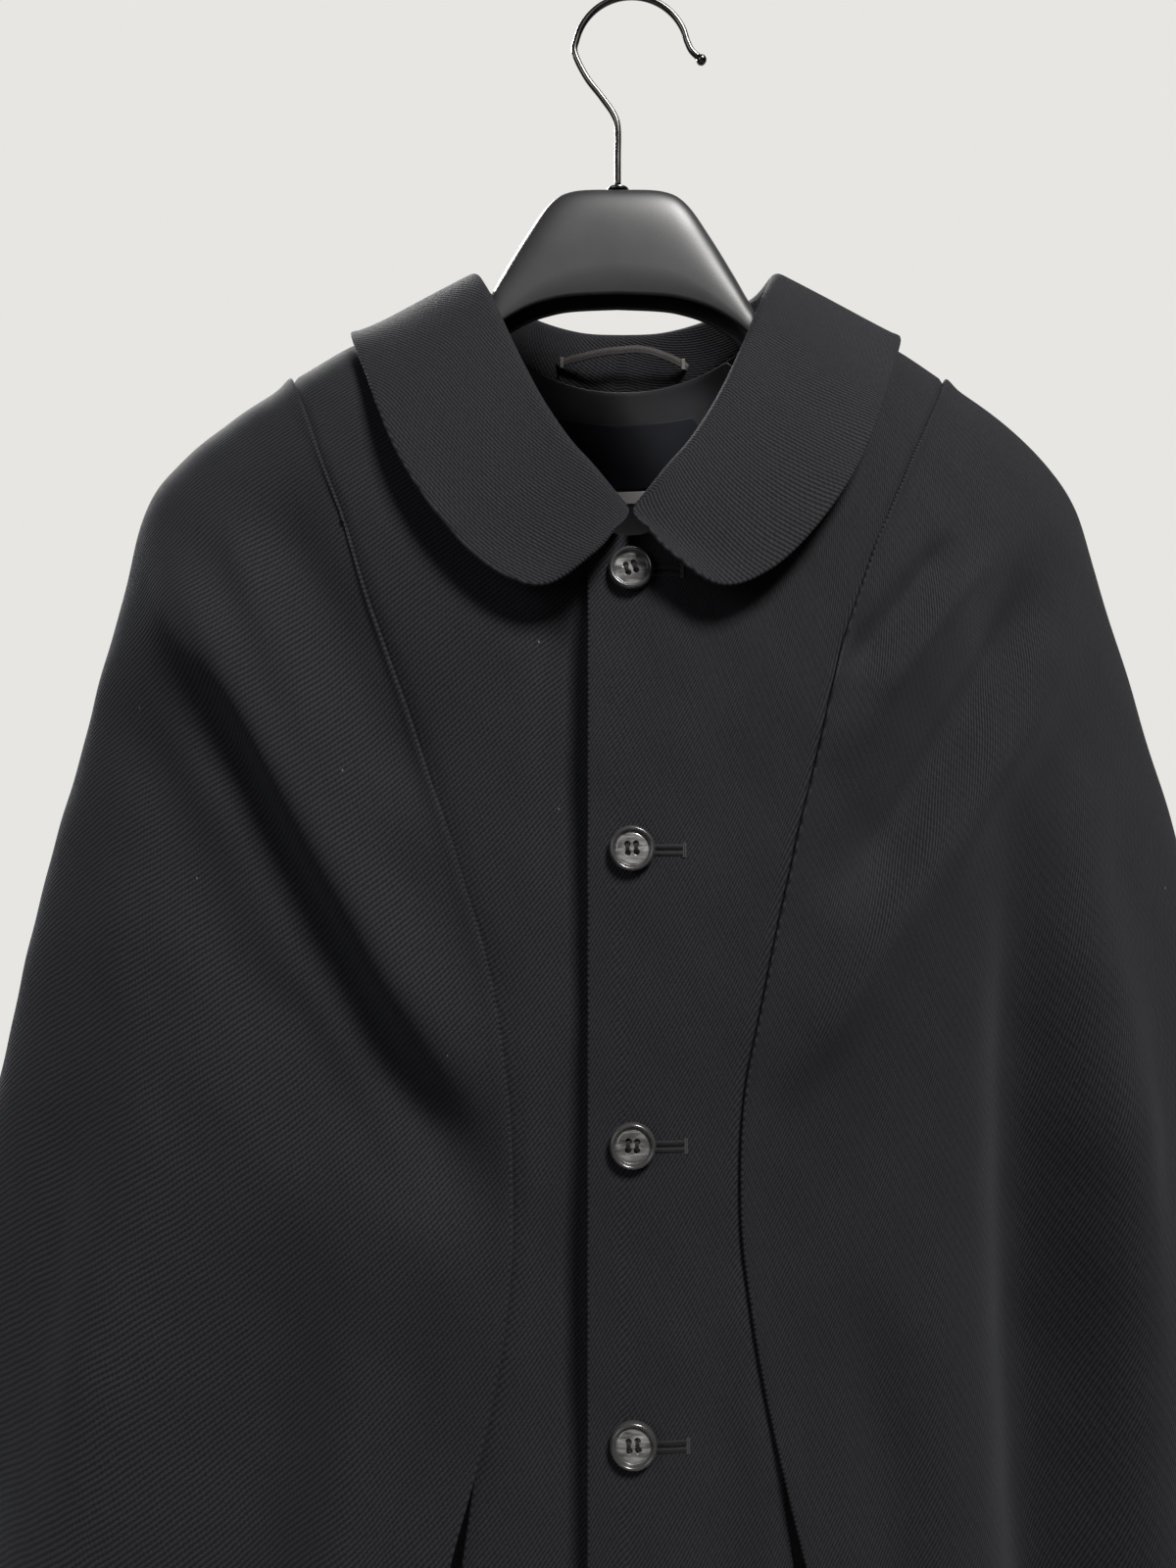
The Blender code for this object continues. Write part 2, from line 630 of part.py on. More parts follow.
def hanger_body(name):
    """The hanger: a channel of plastic, open below, through its sections."""
    place = np.linspace(0.0, len(HANGER) - 1.0, 15)
    half = along(HANGER, place)
    mirror = half[:0:-1].copy()
    mirror[:, 0] *= -1
    section = np.concatenate((mirror, half))
    x, top, bottom, half_depth, middle_y = section.T
    angle = np.radians((0, 20, 40, 60, 75, 90, 105, 120, 140, 160, 180))
    c = np.cos(angle)
    s = np.sin(angle)
    power = 2.0 / (2.0 + 1.8 * np.exp(-(x / 0.05) ** 2))
    flat = np.sign(c) * np.abs(c) ** power[:, None]
    high = np.abs(s) ** power[:, None]
    y = middle_y[:, None] - half_depth[:, None] * flat
    z = bottom[:, None] + (top - bottom)[:, None] * high
    outer = np.stack((np.broadcast_to(x[:, None], y.shape), y, z), axis=-1)
    slim = 1.0 - HANGER_WALL / half_depth[:, None]
    inner_y = middle_y[:, None] - half_depth[:, None] * flat * slim
    inner_z = bottom[:, None] + (top - bottom - HANGER_WALL)[:, None] * high
    inner = np.stack((np.broadcast_to(x[:, None], y.shape), inner_y, inner_z), axis=-1)
    return wall(name, outer, inner, "hanger_plastic")


def hook_line():
    """The middle of the hook's wire, from the stem's foot to its tip."""
    r = HOOK_RADIUS + WIRE / 2
    centre_z = -math.sqrt(HOOK_RADIUS**2 - HOOK_CENTRE_X**2)
    foot = HANGER_TOP + FERRULE_HEIGHT + 0.0006
    points = [(0.0, foot), (0.0, (foot + STEM_TOP) / 2), (0.0, STEM_TOP)]
    for t in (0.2, 0.45, 0.72):
        points.append((-0.0195 * smoothstep(t), STEM_TOP + t * (centre_z - STEM_TOP) * 0.95))
    for degrees in range(180, 4, -14):
        a = math.radians(degrees)
        points.append((HOOK_CENTRE_X + r * math.cos(a), centre_z + r * math.sin(a)))
    end_x, end_z = points[-1]
    points.append((end_x + 0.0022, end_z - 0.0045))
    points.append((end_x + 0.0058, end_z - 0.0080))
    return np.array([(x, 0.0, z) for x, z in points])


def tube_rings(line, radius, sides):
    """Sections of a round rod along a line that lies in the plane y = 0."""
    tangent = np.gradient(line, axis=0)
    tangent /= np.linalg.norm(tangent, axis=1, keepdims=True)
    wide = np.array((0.0, 1.0, 0.0))
    up = np.cross(tangent, wide)
    angle = np.arange(sides) * 2 * math.pi / sides
    ring = np.cos(angle)[:, None] * wide + np.sin(angle)[:, None] * up[:, None, :]
    return line[:, None, :] + np.asarray(radius)[:, None, None] * ring


def hanger_hook(name):
    """The hook: a bent wire with a rounded end."""
    line = hook_line()
    last = line[-1]
    ahead = (last - line[-2]) / np.linalg.norm(last - line[-2])
    steps = (0.0008, 0.0022, 0.0036, 0.0044)
    line = np.concatenate((line, [last + s * ahead for s in steps]))
    radius = np.full(len(line), WIRE / 2)
    radius[-4:] = (0.0022, 0.0026, 0.0022, 0.0012)
    return closed_tube(name, tube_rings(line, radius, 10), "gunmetal")


def hook_ferrule(name):
    """The small ring that the stem stands in."""
    base = HANGER_TOP + 0.0003
    line = np.array([(0, 0, base), (0, 0, base + 0.0018), (0, 0, base + FERRULE_HEIGHT - 0.0003)])
    radius = np.array((FERRULE_RADIUS, FERRULE_RADIUS, FERRULE_RADIUS * 0.55))
    return closed_tube(name, tube_rings(line, radius, 14), "gunmetal")


def main():
    for item in list(bpy.data.objects):
        bpy.data.objects.remove(item, do_unlink=True)
    front("front_left", 1)
    front("front_right", -1)
    cape("cape_left", 1)
    cape("cape_right", -1)
    back("back")
    collar("collar")
    inside_back("neck_lining", np.arange(0.1, 19.0), np.arange(4, 13.0), 0.0003, LINING,
                "satin_lining")
    on_lining = 0.0006 + LINING
    inside_back("neck_label", np.linspace(*LABEL_ROWS, 6), np.linspace(6.3, 9.7, 7), on_lining,
                LABEL, "label_cloth")
    inside_back("care_label", np.linspace(*CARE_ROWS, 4), np.linspace(7.4, 8.6, 5), on_lining,
                LABEL, "white_label")
    hanging_loop("hanging_loop")
    spins = (18.0, 4.0, -3.0, 6.0, 0.0)
    for k, height in enumerate(BUTTON_HEIGHTS):
        button(f"button_{k + 1}", height, spins[k])
    hanger_body("hanger_body")
    hook_ferrule("hook_ferrule")
    hanger_hook("hanger_hook")


main()
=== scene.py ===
# %% [markdown]
# # A wool cape coat on its hanger
#
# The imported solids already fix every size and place. This script dresses them: each cloth panel is
# made again as a fine shell on the same form, with its smaller creases, twill and sewing, and the
# buttons, hanger and hook get their smooth surfaces and finishes.
#
# Units are metres. X runs to the wearer's left, Y to the back and Z up. The origin is where the
# hook bears on its rail.

# %% Load the frame
import math

import bmesh
import bpy
import numpy as np

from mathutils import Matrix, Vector


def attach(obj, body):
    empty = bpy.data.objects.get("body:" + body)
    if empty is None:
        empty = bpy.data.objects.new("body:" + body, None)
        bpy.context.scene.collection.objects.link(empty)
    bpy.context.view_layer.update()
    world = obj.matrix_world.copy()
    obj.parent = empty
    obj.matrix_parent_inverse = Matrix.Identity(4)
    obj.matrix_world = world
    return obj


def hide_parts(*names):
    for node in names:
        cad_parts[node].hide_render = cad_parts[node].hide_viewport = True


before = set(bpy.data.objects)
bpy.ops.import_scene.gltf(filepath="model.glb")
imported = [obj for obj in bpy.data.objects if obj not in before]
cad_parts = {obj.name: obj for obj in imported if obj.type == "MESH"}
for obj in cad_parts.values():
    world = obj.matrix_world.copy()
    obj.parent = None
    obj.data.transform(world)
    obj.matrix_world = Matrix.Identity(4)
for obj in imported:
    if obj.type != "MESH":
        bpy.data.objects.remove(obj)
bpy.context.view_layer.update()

# %% [markdown]
# ## Small helpers for curves
#
# A garment maker works from a few measured sections and lets the cloth run smoothly between them.
# A table with one row per section does the same: `along` reads it at any place, also between rows,
# with a curve that passes through every row.


# %% Curves through tables
def smoothstep(value):
    """An even step from 0 to 1, level at both ends: 3t² - 2t³."""
    t = np.clip(value, 0.0, 1.0)
    return t * t * (3.0 - 2.0 * t)


def along(table, place):
    """Rows between the rows of a table: a cubic whose slope is that between a row's neighbours."""
    place = np.clip(np.asarray(place, float), 0.0, len(table) - 1.0)
    i = np.minimum(place.astype(int), len(table) - 2)
    t = (place - i)[..., None]
    before = table[np.maximum(i - 1, 0)]
    here = table[i]
    there = table[i + 1]
    after = table[np.minimum(i + 2, len(table) - 1)]
    leave = (there - before) / 2
    arrive = (after - here) / 2
    return ((2 * t**3 - 3 * t**2 + 1) * here + (t**3 - 2 * t**2 + t) * leave
            + (3 * t**2 - 2 * t**3) * there + (t**3 - t**2) * arrive)


def unit(vector):
    """Vectors scaled to length 1."""
    return vector / np.maximum(np.linalg.norm(vector, axis=-1, keepdims=True), 1e-12)


def grid_normals(grid):
    """Directions out of a grid of points: the cross product of its two slopes."""
    return unit(np.cross(np.gradient(grid, axis=0), np.gradient(grid, axis=1)))


def running_length(points, axis):
    """The length run along one axis of a grid of points."""
    step = np.linalg.norm(np.diff(points, axis=axis), axis=-1)
    start = np.zeros_like(np.take(step, [0], axis=axis))
    return np.cumsum(np.concatenate((start, step), axis=axis), axis=axis)


print("helpers ready")

# %% [markdown]
# ## Meshes from grids
#
# Every piece here is a grid of points, so one helper puts points, four-sided faces and cloth
# coordinates into a mesh. A cloth wall has an outer grid, an inner grid and a half-round rim, which
# could also come from Solidify and Bevel, but the rim made here keeps the cut edge soft everywhere.

# %% Mesh helpers
RIM_ANGLES = np.radians((35.0, 70.0, 110.0, 145.0))
SAME_PLACE = 1e-7
NO_LENGTH = 1e-8


def new_piece(name, points, quads, uv, finish):
    """A smooth mesh from points and four-sided faces, with a UV map in metres."""
    mesh = bpy.data.meshes.new(name)
    count = len(quads)
    mesh.vertices.add(len(points))
    mesh.vertices.foreach_set("co", np.asarray(points, np.float32).ravel())
    mesh.loops.add(4 * count)
    mesh.loops.foreach_set("vertex_index", np.asarray(quads, np.int32).ravel())
    mesh.polygons.add(count)
    mesh.polygons.foreach_set("loop_start", np.arange(0, 4 * count, 4, dtype=np.int32))
    mesh.polygons.foreach_set("use_smooth", np.ones(count, bool))
    mesh.update(calc_edges=True)
    layer = mesh.uv_layers.new(name="cloth")
    layer.data.foreach_set("uv", np.asarray(uv, np.float32)[np.asarray(quads).ravel()].ravel())
    mesh.materials.append(finish)
    piece = bpy.data.objects.new(name, mesh)
    bpy.context.collection.objects.link(piece)
    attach(piece, "root")
    return piece


def grid_quads(rows, columns, first=0):
    """The faces of a grid of points, row by row."""
    index = first + np.arange(rows * columns).reshape(rows, columns)
    return np.stack((index[:-1, :-1], index[1:, :-1], index[1:, 1:], index[:-1, 1:]), -1).reshape(-1, 4)


def rim_of(grid):
    """The points round a grid's four sides, in order."""
    return np.concatenate((grid[0, :-1], grid[:-1, -1], grid[-1, :0:-1], grid[:0:-1, 0]))


def cloth_wall(name, outer, inner, uv, finish):
    """A closed wall between two grids whose rim is a half circle of the wall's thickness.

    At each rim point the half circle turns from the outer to the inner point about their middle,
    bulging square to the edge and away from the cloth.
    """
    rows, columns = outer.shape[:2]
    count = rows * columns
    front = grid_quads(rows, columns)
    behind = grid_quads(rows, columns, count)[:, ::-1]
    loop = rim_of(np.arange(count).reshape(rows, columns))
    a = outer.reshape(-1, 3)[loop]
    b = inner.reshape(-1, 3)[loop]
    half = (a - b) / 2
    line = unit(np.roll(a, -1, axis=0) - np.roll(a, 1, axis=0))
    out = unit(np.cross(line, half))
    middle = rim_of(np.broadcast_to(np.mean(outer, axis=1, keepdims=True), outer.shape))
    if np.sum((a - middle) * out) < 0:
        out = -out
    radius = np.linalg.norm(half, axis=-1, keepdims=True)
    arcs = [(a + b) / 2 + half * math.cos(w) + out * radius * math.sin(w) for w in RIM_ANGLES]
    edge = len(loop)
    steps = [loop] + [2 * count + k * edge + np.arange(edge) for k in range(len(arcs))] + [loop + count]
    band = [np.stack((here, np.roll(here, -1), np.roll(there, -1), there), -1)
            for here, there in zip(steps[:-1], steps[1:])]
    points = np.concatenate([outer.reshape(-1, 3), inner.reshape(-1, 3)] + arcs)
    flat = uv.reshape(-1, 2)
    cloth = np.concatenate([flat, flat] + [flat[loop]] * len(arcs))
    return outward(new_piece(name, points, np.concatenate([front, behind] + band), cloth, finish))


def outward(piece):
    """The piece with its faces turned to point out, judged by its signed volume."""
    mesh = piece.data
    points = np.empty(3 * len(mesh.vertices), np.float32)
    mesh.vertices.foreach_get("co", points)
    corners = np.empty(len(mesh.loops), np.int32)
    mesh.loops.foreach_get("vertex_index", corners)
    p = points.reshape(-1, 3)[corners.reshape(-1, 4)].astype(float)
    volume = np.sum(p[:, 0] * np.cross(p[:, 1], p[:, 2])) + np.sum(p[:, 0] * np.cross(p[:, 2], p[:, 3]))
    if volume < 0:
        mesh.flip_normals()
    return piece


def rod_grid(line, sides, wide, tall, up):
    """Points and cloth coordinates of a rod: an oval at each point, with a point at both ends."""
    line = np.asarray(line, float)
    ahead = unit(np.gradient(line, axis=0))
    across_it = unit(np.cross(ahead, np.asarray(up, float)))
    upward = np.cross(across_it, ahead)
    angle = np.linspace(0.0, 2 * math.pi, sides + 1)
    wide = np.broadcast_to(wide, len(line))
    tall = np.broadcast_to(tall, len(line))
    section = (np.cos(angle)[:, None] * across_it[:, None] * wide[:, None, None]
               + np.sin(angle)[:, None] * upward[:, None] * tall[:, None, None])
    ends = np.broadcast_to(line[[0, -1], None], (2, sides + 1, 3))
    grid = np.concatenate((ends[:1], line[:, None] + section, ends[1:]))
    far = running_length(line, 0)
    far = np.concatenate((far[:1], far, far[-1:]))
    uv = np.stack(np.broadcast_arrays(angle[None] * np.mean(wide), far[:, None]), -1)
    return grid, uv


def rods(name, lines, sides, wide, tall, finish, up):
    """One piece of closed rods with an oval section: wide across each line, tall along `up`."""
    grids, uvs = zip(*(rod_grid(line, sides, wide, tall, up) for line in lines))
    rows, columns = grids[0].shape[:2]
    quads = [grid_quads(rows, columns, k * rows * columns) for k in range(len(lines))]
    points = np.concatenate(grids).reshape(-1, 3)
    uv = np.concatenate(uvs).reshape(-1, 2)
    return merged(new_piece(name, points, np.concatenate(quads), uv, finish))


def merged(piece):
    """The piece with points that share a place joined, which closes seams and poles."""
    work = bmesh.new()
    work.from_mesh(piece.data)
    bmesh.ops.remove_doubles(work, verts=work.verts, dist=SAME_PLACE)
    bmesh.ops.dissolve_degenerate(work, edges=work.edges, dist=NO_LENGTH)
    bmesh.ops.recalc_face_normals(work, faces=work.faces)
    work.to_mesh(piece.data)
    work.free()
    return piece


def dress(piece, node):
    """The piece put in place of a node, which is hidden."""
    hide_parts(node)
    print(node, len(piece.data.polygons), "faces")
    return piece


print("mesh helpers ready")

# %% [markdown]
# ## Shader maths as plain expressions
#
# A finish is a small sum over the surface: twill lines, a few tone patches, some lint. Written as
# node links this is hard to read, so a class wraps a socket and turns +, -, * and / into Math nodes.
# Every other node comes from its one method, `node`.


# %% The socket class
class Shade:
    """A socket in a material's node tree, with arithmetic."""

    def __init__(self, tree, socket=None):
        self.tree = tree
        self.socket = socket

    def node(self, kind, settings=None, sockets=None, output=0):
        """A node of a type, with its settings first and then its sockets' values or links."""
        made = self.tree.nodes.new(kind)
        for key, value in (settings or {}).items():
            if key == "stops":
                ramp = made.color_ramp.elements
                while len(ramp) < len(value):
                    ramp.new(1.0)
                for stop, (place, colour) in zip(ramp, value):
                    stop.position = place
                    stop.color = (*colour, 1.0)
            else:
                setattr(made, key, value)
        for key, value in (sockets or {}).items():
            if isinstance(value, Shade):
                self.tree.links.new(value.socket, made.inputs[key])
            else:
                made.inputs[key].default_value = value
        return Shade(self.tree, made.outputs[output])

    def maths(self, operation, *values):
        """One Math node on up to three values."""
        return self.node("ShaderNodeMath", {"operation": operation}, dict(enumerate(values)))

    def __add__(self, other):
        return self.maths("ADD", self, other)

    def __radd__(self, other):
        return self.maths("ADD", other, self)

    def __sub__(self, other):
        return self.maths("SUBTRACT", self, other)

    def __rsub__(self, other):
        return self.maths("SUBTRACT", other, self)

    def __mul__(self, other):
        return self.maths("MULTIPLY", self, other)

    def __rmul__(self, other):
        return self.maths("MULTIPLY", other, self)

    def __truediv__(self, other):
        return self.maths("DIVIDE", self, other)

    def __gt__(self, other):
        return self.maths("GREATER_THAN", self, other)

    def __lt__(self, other):
        return self.maths("LESS_THAN", self, other)

    def wave(self):
        """A wave between 0 and 1, one for each whole step of the value."""
        return 0.5 + 0.5 * self.maths("SINE", self * (2 * math.pi))

    def mix(self, low, high):
        """A colour between two, by this value."""
        blend = {"data_type": "RGBA", "clamp_factor": True}
        return self.node("ShaderNodeMix", blend, {0: self, 6: low, 7: high}, output=2)


def new_finish(name, **constants):
    """A material with a Principled shader, its constant values, and a Shade to build on."""
    material = bpy.data.materials.new(name)
    material.use_nodes = True
    tree = material.node_tree
    shader = tree.nodes["Principled BSDF"]
    for key, value in constants.items():
        shader.inputs[key.replace("_", " ").title().replace("Ior", "IOR")].default_value = value
    return material, Shade(tree), shader


def connect(shade, shader, **varying):
    """Links what varies over the surface to the shader's sockets."""
    for key, value in varying.items():
        shade.tree.links.new(value.socket, shader.inputs[key.replace("_", " ").title()])


def noise(shade, place, scale, detail):
    """Noise read at a place, with its scale in waves to the metre."""
    return shade.node("ShaderNodeTexNoise", None, {"Vector": place, "Scale": scale, "Detail": detail})


def object_place(shade):
    """Places in the piece's own coordinates."""
    return shade.node("ShaderNodeTexCoord", output=3)


def cloth_place(shade):
    """The cloth coordinates, and their U and V."""
    cloth = shade.node("ShaderNodeUVMap", {"uv_map": "cloth"})
    u = shade.node("ShaderNodeSeparateXYZ", None, {0: cloth})
    return cloth, u, Shade(u.tree, u.socket.node.outputs[1])


def bump(shade, height, strength, distance):
    """A Normal from a height."""
    return shade.node("ShaderNodeBump", None,
                      {"Strength": strength, "Distance": distance, "Height": height})


def colour(value):
    """A grey or an RGB triple as a colour with alpha."""
    return (*value, 1.0) if len(np.shape(value)) else (value, value, value, 1.0)


print("shader class ready")

# %% [markdown]
# ## Wool twill
#
# The coat is a firm black wool twill: fine raised diagonal lines about a millimetre and a half
# apart, a soft nap that lightens at grazing angles, and a speck of lint here and there. An image
# texture would repeat, so the lines come from the cloth coordinates that each panel carries in
# metres, with V across the twill. Noise bends them a little, as handled cloth does.

# %% The wool finish
TWILL_PITCH = 0.00150
WOOL_DARK = (0.0033, 0.0033, 0.0040)
WOOL_LIGHT = (0.0166, 0.0167, 0.0192)
LINT = (0.11, 0.11, 0.11)
NAP_TINT = (0.62, 0.64, 0.72)
TWILL_BEND = 1.1
TWILL_FRAY = 0.45
FLOAT_LENGTH = 1.9 * TWILL_PITCH
FLOAT_STEP = 3.1 * TWILL_PITCH
FLOAT_SHARE = 0.16
WEAVE_RELIEF = 0.00045
# Lint sits in a few of the cells of a net: cells to the metre, a speck's radius as a share of a
# cell, and the share of the cells that stay clean.
LINT_CELLS = 85.0
LINT_RADIUS = 0.035
LINT_FREE = 0.965


def wool_finish():
    """Twill lines as a wave of V, broken along U into floats, with tone patches and lint."""
    material, shade, shader = new_finish("black_wool_twill", roughness=0.86, sheen_weight=0.05,
                                         sheen_roughness=0.45, specular_ior_level=0.16)
    shader.inputs["Sheen Tint"].default_value = colour(NAP_TINT)
    cloth, u, v = cloth_place(shade)
    bend = noise(shade, cloth, 26.0, 2.0)
    fray = noise(shade, cloth, 900.0, 1.0)
    lines = (v / TWILL_PITCH + TWILL_BEND * bend + TWILL_FRAY * fray).wave()
    floats = (u / FLOAT_LENGTH + v / FLOAT_STEP).wave()
    weave = (1.0 - FLOAT_SHARE) * lines + FLOAT_SHARE * floats
    tone = weave * (0.72 + 0.56 * noise(shade, cloth, 7.0, 3.0))
    cells = shade.node("ShaderNodeTexVoronoi", {"feature": "F1"}, {"Vector": cloth, "Scale": LINT_CELLS})
    pick = shade.node("ShaderNodeSeparateColor", None,
                      {0: Shade(cells.tree, cells.socket.node.outputs["Color"])})
    speck = (cells < LINT_RADIUS) * (pick > LINT_FREE)
    ground = tone.mix(colour(WOOL_DARK), colour(WOOL_LIGHT))
    connect(shade, shader, base_color=speck.mix(ground, colour(LINT)),
            roughness=0.92 - 0.12 * weave,
            normal=bump(shade, weave + 0.35 * fray, 0.55, WEAVE_RELIEF))
    return material


WOOL = wool_finish()
print("wool twill, pitch", TWILL_PITCH * 1000, "mm")

# %% [markdown]
# ## The small cloths: lining, labels, tape and thread
#
# The neck is faced with a smooth dark satin whose fine cross ribs catch light in bands. The labels
# are close plain weaves, left bare. The hanging loop is a grey-brown tape with ribs across it, and
# the sewing thread is black with a slight gloss. Each is a wave or two of the cloth coordinates, so
# one function makes them all from a few numbers.

# %% Woven finishes
THREAD_TO_RIB = 0.8
RIB_RELIEF = 0.0003


def woven_finish(name, dark, light, rib, rib_slant, roughness, relief, gloss=0.15):
    """A ribbed cloth: waves along and across the cloth coordinates, mixed between two colours."""
    material, shade, shader = new_finish(name, sheen_weight=0.05, specular_ior_level=gloss)
    cloth, u, v = cloth_place(shade)
    ribs = ((v + u * rib_slant) / rib).wave()
    threads = (u / (rib * THREAD_TO_RIB)).wave()
    weave = 0.6 * ribs + 0.25 * threads + 0.5 * noise(shade, cloth, 34.0, 3.0) - 0.2
    connect(shade, shader, base_color=weave.mix(colour(dark), colour(light)),
            roughness=roughness - 0.1 * ribs,
            normal=bump(shade, ribs + 0.5 * threads, relief, RIB_RELIEF))
    return material


SATIN = woven_finish("dark_satin_lining", (0.014, 0.014, 0.016), (0.030, 0.030, 0.033), 0.0006, 0.1,
                     0.46, 0.2, 0.4)
LABEL = woven_finish("navy_label_weave", (0.0045, 0.0050, 0.0085), (0.0110, 0.0120, 0.0200), 0.0005,
                     0.0, 0.68, 0.4)
WHITE = woven_finish("white_label_weave", (0.60, 0.59, 0.57), (0.80, 0.79, 0.77), 0.0005, 0.0, 0.7, 0.3)
TAPE = woven_finish("ribbed_tape", (0.024, 0.0225, 0.0215), (0.062, 0.058, 0.056), 0.0007, 0.4, 0.62, 0.6)
TACK = woven_finish("tape_tack_thread", (0.085, 0.080, 0.075), (0.20, 0.19, 0.18), 0.0005, 0.0, 0.55, 0.6)
THREAD = woven_finish("black_thread", (0.0030, 0.0030, 0.0034), (0.0130, 0.0130, 0.0145), 0.0004, 0.5,
                      0.62, 0.2)
# Painted shade: a near-black rod, darker than the wool, stands for the shaded slit between a buttonhole's
# lips.
SLIT_PAINTED_SHADE = woven_finish("slit_painted_shade", (0.0010, 0.0010, 0.0012), (0.0030, 0.0030, 0.0034), 0.0005, 0.0, 0.9, 0.2)
# Painted highlight: the bar is the same black thread as the lips, given a lighter colour for the light its
# raised stack catches.
PAINTED_LIGHT_BAR = woven_finish("bar_thread_painted_light", (0.012, 0.012, 0.013), (0.050, 0.050, 0.053), 0.0004, 0.5, 0.60, 0.2)
print("woven finishes:", [m.name for m in (SATIN, LABEL, WHITE, TAPE, TACK, THREAD, SLIT_PAINTED_SHADE, PAINTED_LIGHT_BAR)])

# %% [markdown]
# ## Horn buttons
#
# The buttons look like polished dark horn: charcoal with paler pearly streaks that run across the
# face, glossier on the rim, where painted shade darkens the colour over the groove and the outer
# flank. The streaks are noise stretched along one direction, read from Object coordinates so that
# every button is cut from a different part of the horn.

# %% The horn finish
STREAK_TURN = (0.0, 0.55, 0.0)
STREAK_SCALE = (60.0, 60.0, 330.0)
# place on the ramp, colour
HORN_STOPS = (
    (0.28, (0.020, 0.019, 0.019)),
    (0.45, (0.060, 0.058, 0.057)),
    (0.60, (0.160, 0.156, 0.153)),
    (0.80, (0.360, 0.350, 0.345)),
)
# Painted shade: the rim's colour darkens the groove and the outer flank, fading in between the two
# distances below.
HORN_RIM_PAINTED_SHADE = (0.030, 0.029, 0.029)
FINE_RELIEF = 0.0002
RIM_SHADE_STARTS = 0.0068
RIM_SHADE_FULL = 0.0076


def horn_finish():
    """Streaks: noise squeezed across the streak's run, through a colour ramp, and a rim darkened by
    painted shade.

    The painted shade starts at a distance from the button's middle, which its own coordinates give, and
    covers the groove and the outer flank.
    """
    material, shade, shader = new_finish("dark_horn", roughness=0.24, specular_ior_level=0.55,
                                         coat_weight=0.35, coat_roughness=0.10)
    place = object_place(shade)
    turned = shade.node("ShaderNodeMapping", None,
                        {"Vector": place, "Rotation": STREAK_TURN, "Scale": STREAK_SCALE})
    streak = shade.node("ShaderNodeTexNoise", None,
                        {"Vector": turned, "Scale": 1.3, "Detail": 4.0, "Distortion": 0.8})
    cloud = noise(shade, place, 160.0, 2.0)
    ramp = shade.node("ShaderNodeValToRGB", {"stops": HORN_STOPS}, {0: streak * 0.75 + cloud * 0.28})
    scratch = noise(shade, place, 2400.0, 2.0)
    face = shade.node("ShaderNodeUVMap", {"uv_map": "cloth"})
    from_middle = shade.node("ShaderNodeVectorMath", {"operation": "LENGTH"}, {0: face}, output=1)
    rim_shade = shade.node("ShaderNodeMapRange", {"interpolation_type": "SMOOTHSTEP"},
                     {"Value": from_middle, "From Min": RIM_SHADE_STARTS, "From Max": RIM_SHADE_FULL})
    connect(shade, shader, base_color=rim_shade.mix(ramp, colour(HORN_RIM_PAINTED_SHADE)),
            roughness=0.17 + 0.16 * cloud, normal=bump(shade, scratch, 0.03, FINE_RELIEF))
    return material


HORN = horn_finish()
print("horn finish ready")

# %% [markdown]
# ## Hanger plastic and the hook's metal
#
# The hanger is moulded in satin charcoal plastic with a faint grain and a few slow rubbed patches.
# The hook is steel with a dark gunmetal plating, smooth, with fine marks that run every way.

# %% Plastic and metal finishes
PLASTIC_DARK = (0.0125, 0.0125, 0.0135)
PLASTIC_RUBBED = (0.0260, 0.0260, 0.0275)
PLATING_DARK = (0.050, 0.048, 0.047)
PLATING_LIGHT = (0.115, 0.110, 0.106)


def plastic_finish():
    """A fine spark grain for the relief, and slow noise for rubbed patches."""
    material, shade, shader = new_finish("satin_charcoal_plastic", specular_ior_level=0.45)
    place = object_place(shade)
    grain = noise(shade, place, 1500.0, 2.0)
    rubbed = noise(shade, place, 22.0, 5.0)
    connect(shade, shader, base_color=rubbed.mix(colour(PLASTIC_DARK), colour(PLASTIC_RUBBED)),
            roughness=0.34 + 0.16 * rubbed, normal=bump(shade, grain, 0.12, FINE_RELIEF))
    return material


def metal_finish():
    """A dark plating whose roughness wanders, with fine marks."""
    material, shade, shader = new_finish("gunmetal_plating", metallic=1.0)
    place = object_place(shade)
    marks = noise(shade, place, 900.0, 3.0)
    wander = noise(shade, place, 70.0, 3.0)
    connect(shade, shader, base_color=wander.mix(colour(PLATING_DARK), colour(PLATING_LIGHT)),
            roughness=0.20 + 0.14 * wander, normal=bump(shade, marks, 0.06, FINE_RELIEF))
    return material


PLASTIC = plastic_finish()
GUNMETAL = metal_finish()
print("hanger finishes ready")

# %% [markdown]
# ## The form of the coat
#
# A cape coat is a wide cone hung from the shoulders. Its form here is a set of rings from the neck
# seam to the hem. A place on it has two values: turn, the angle round from the centre front (0) past
# the wearer's left side (90 degrees) to the centre back (180), and row, the place down the table.
# Cutting all panels from one form makes their seams meet by themselves.

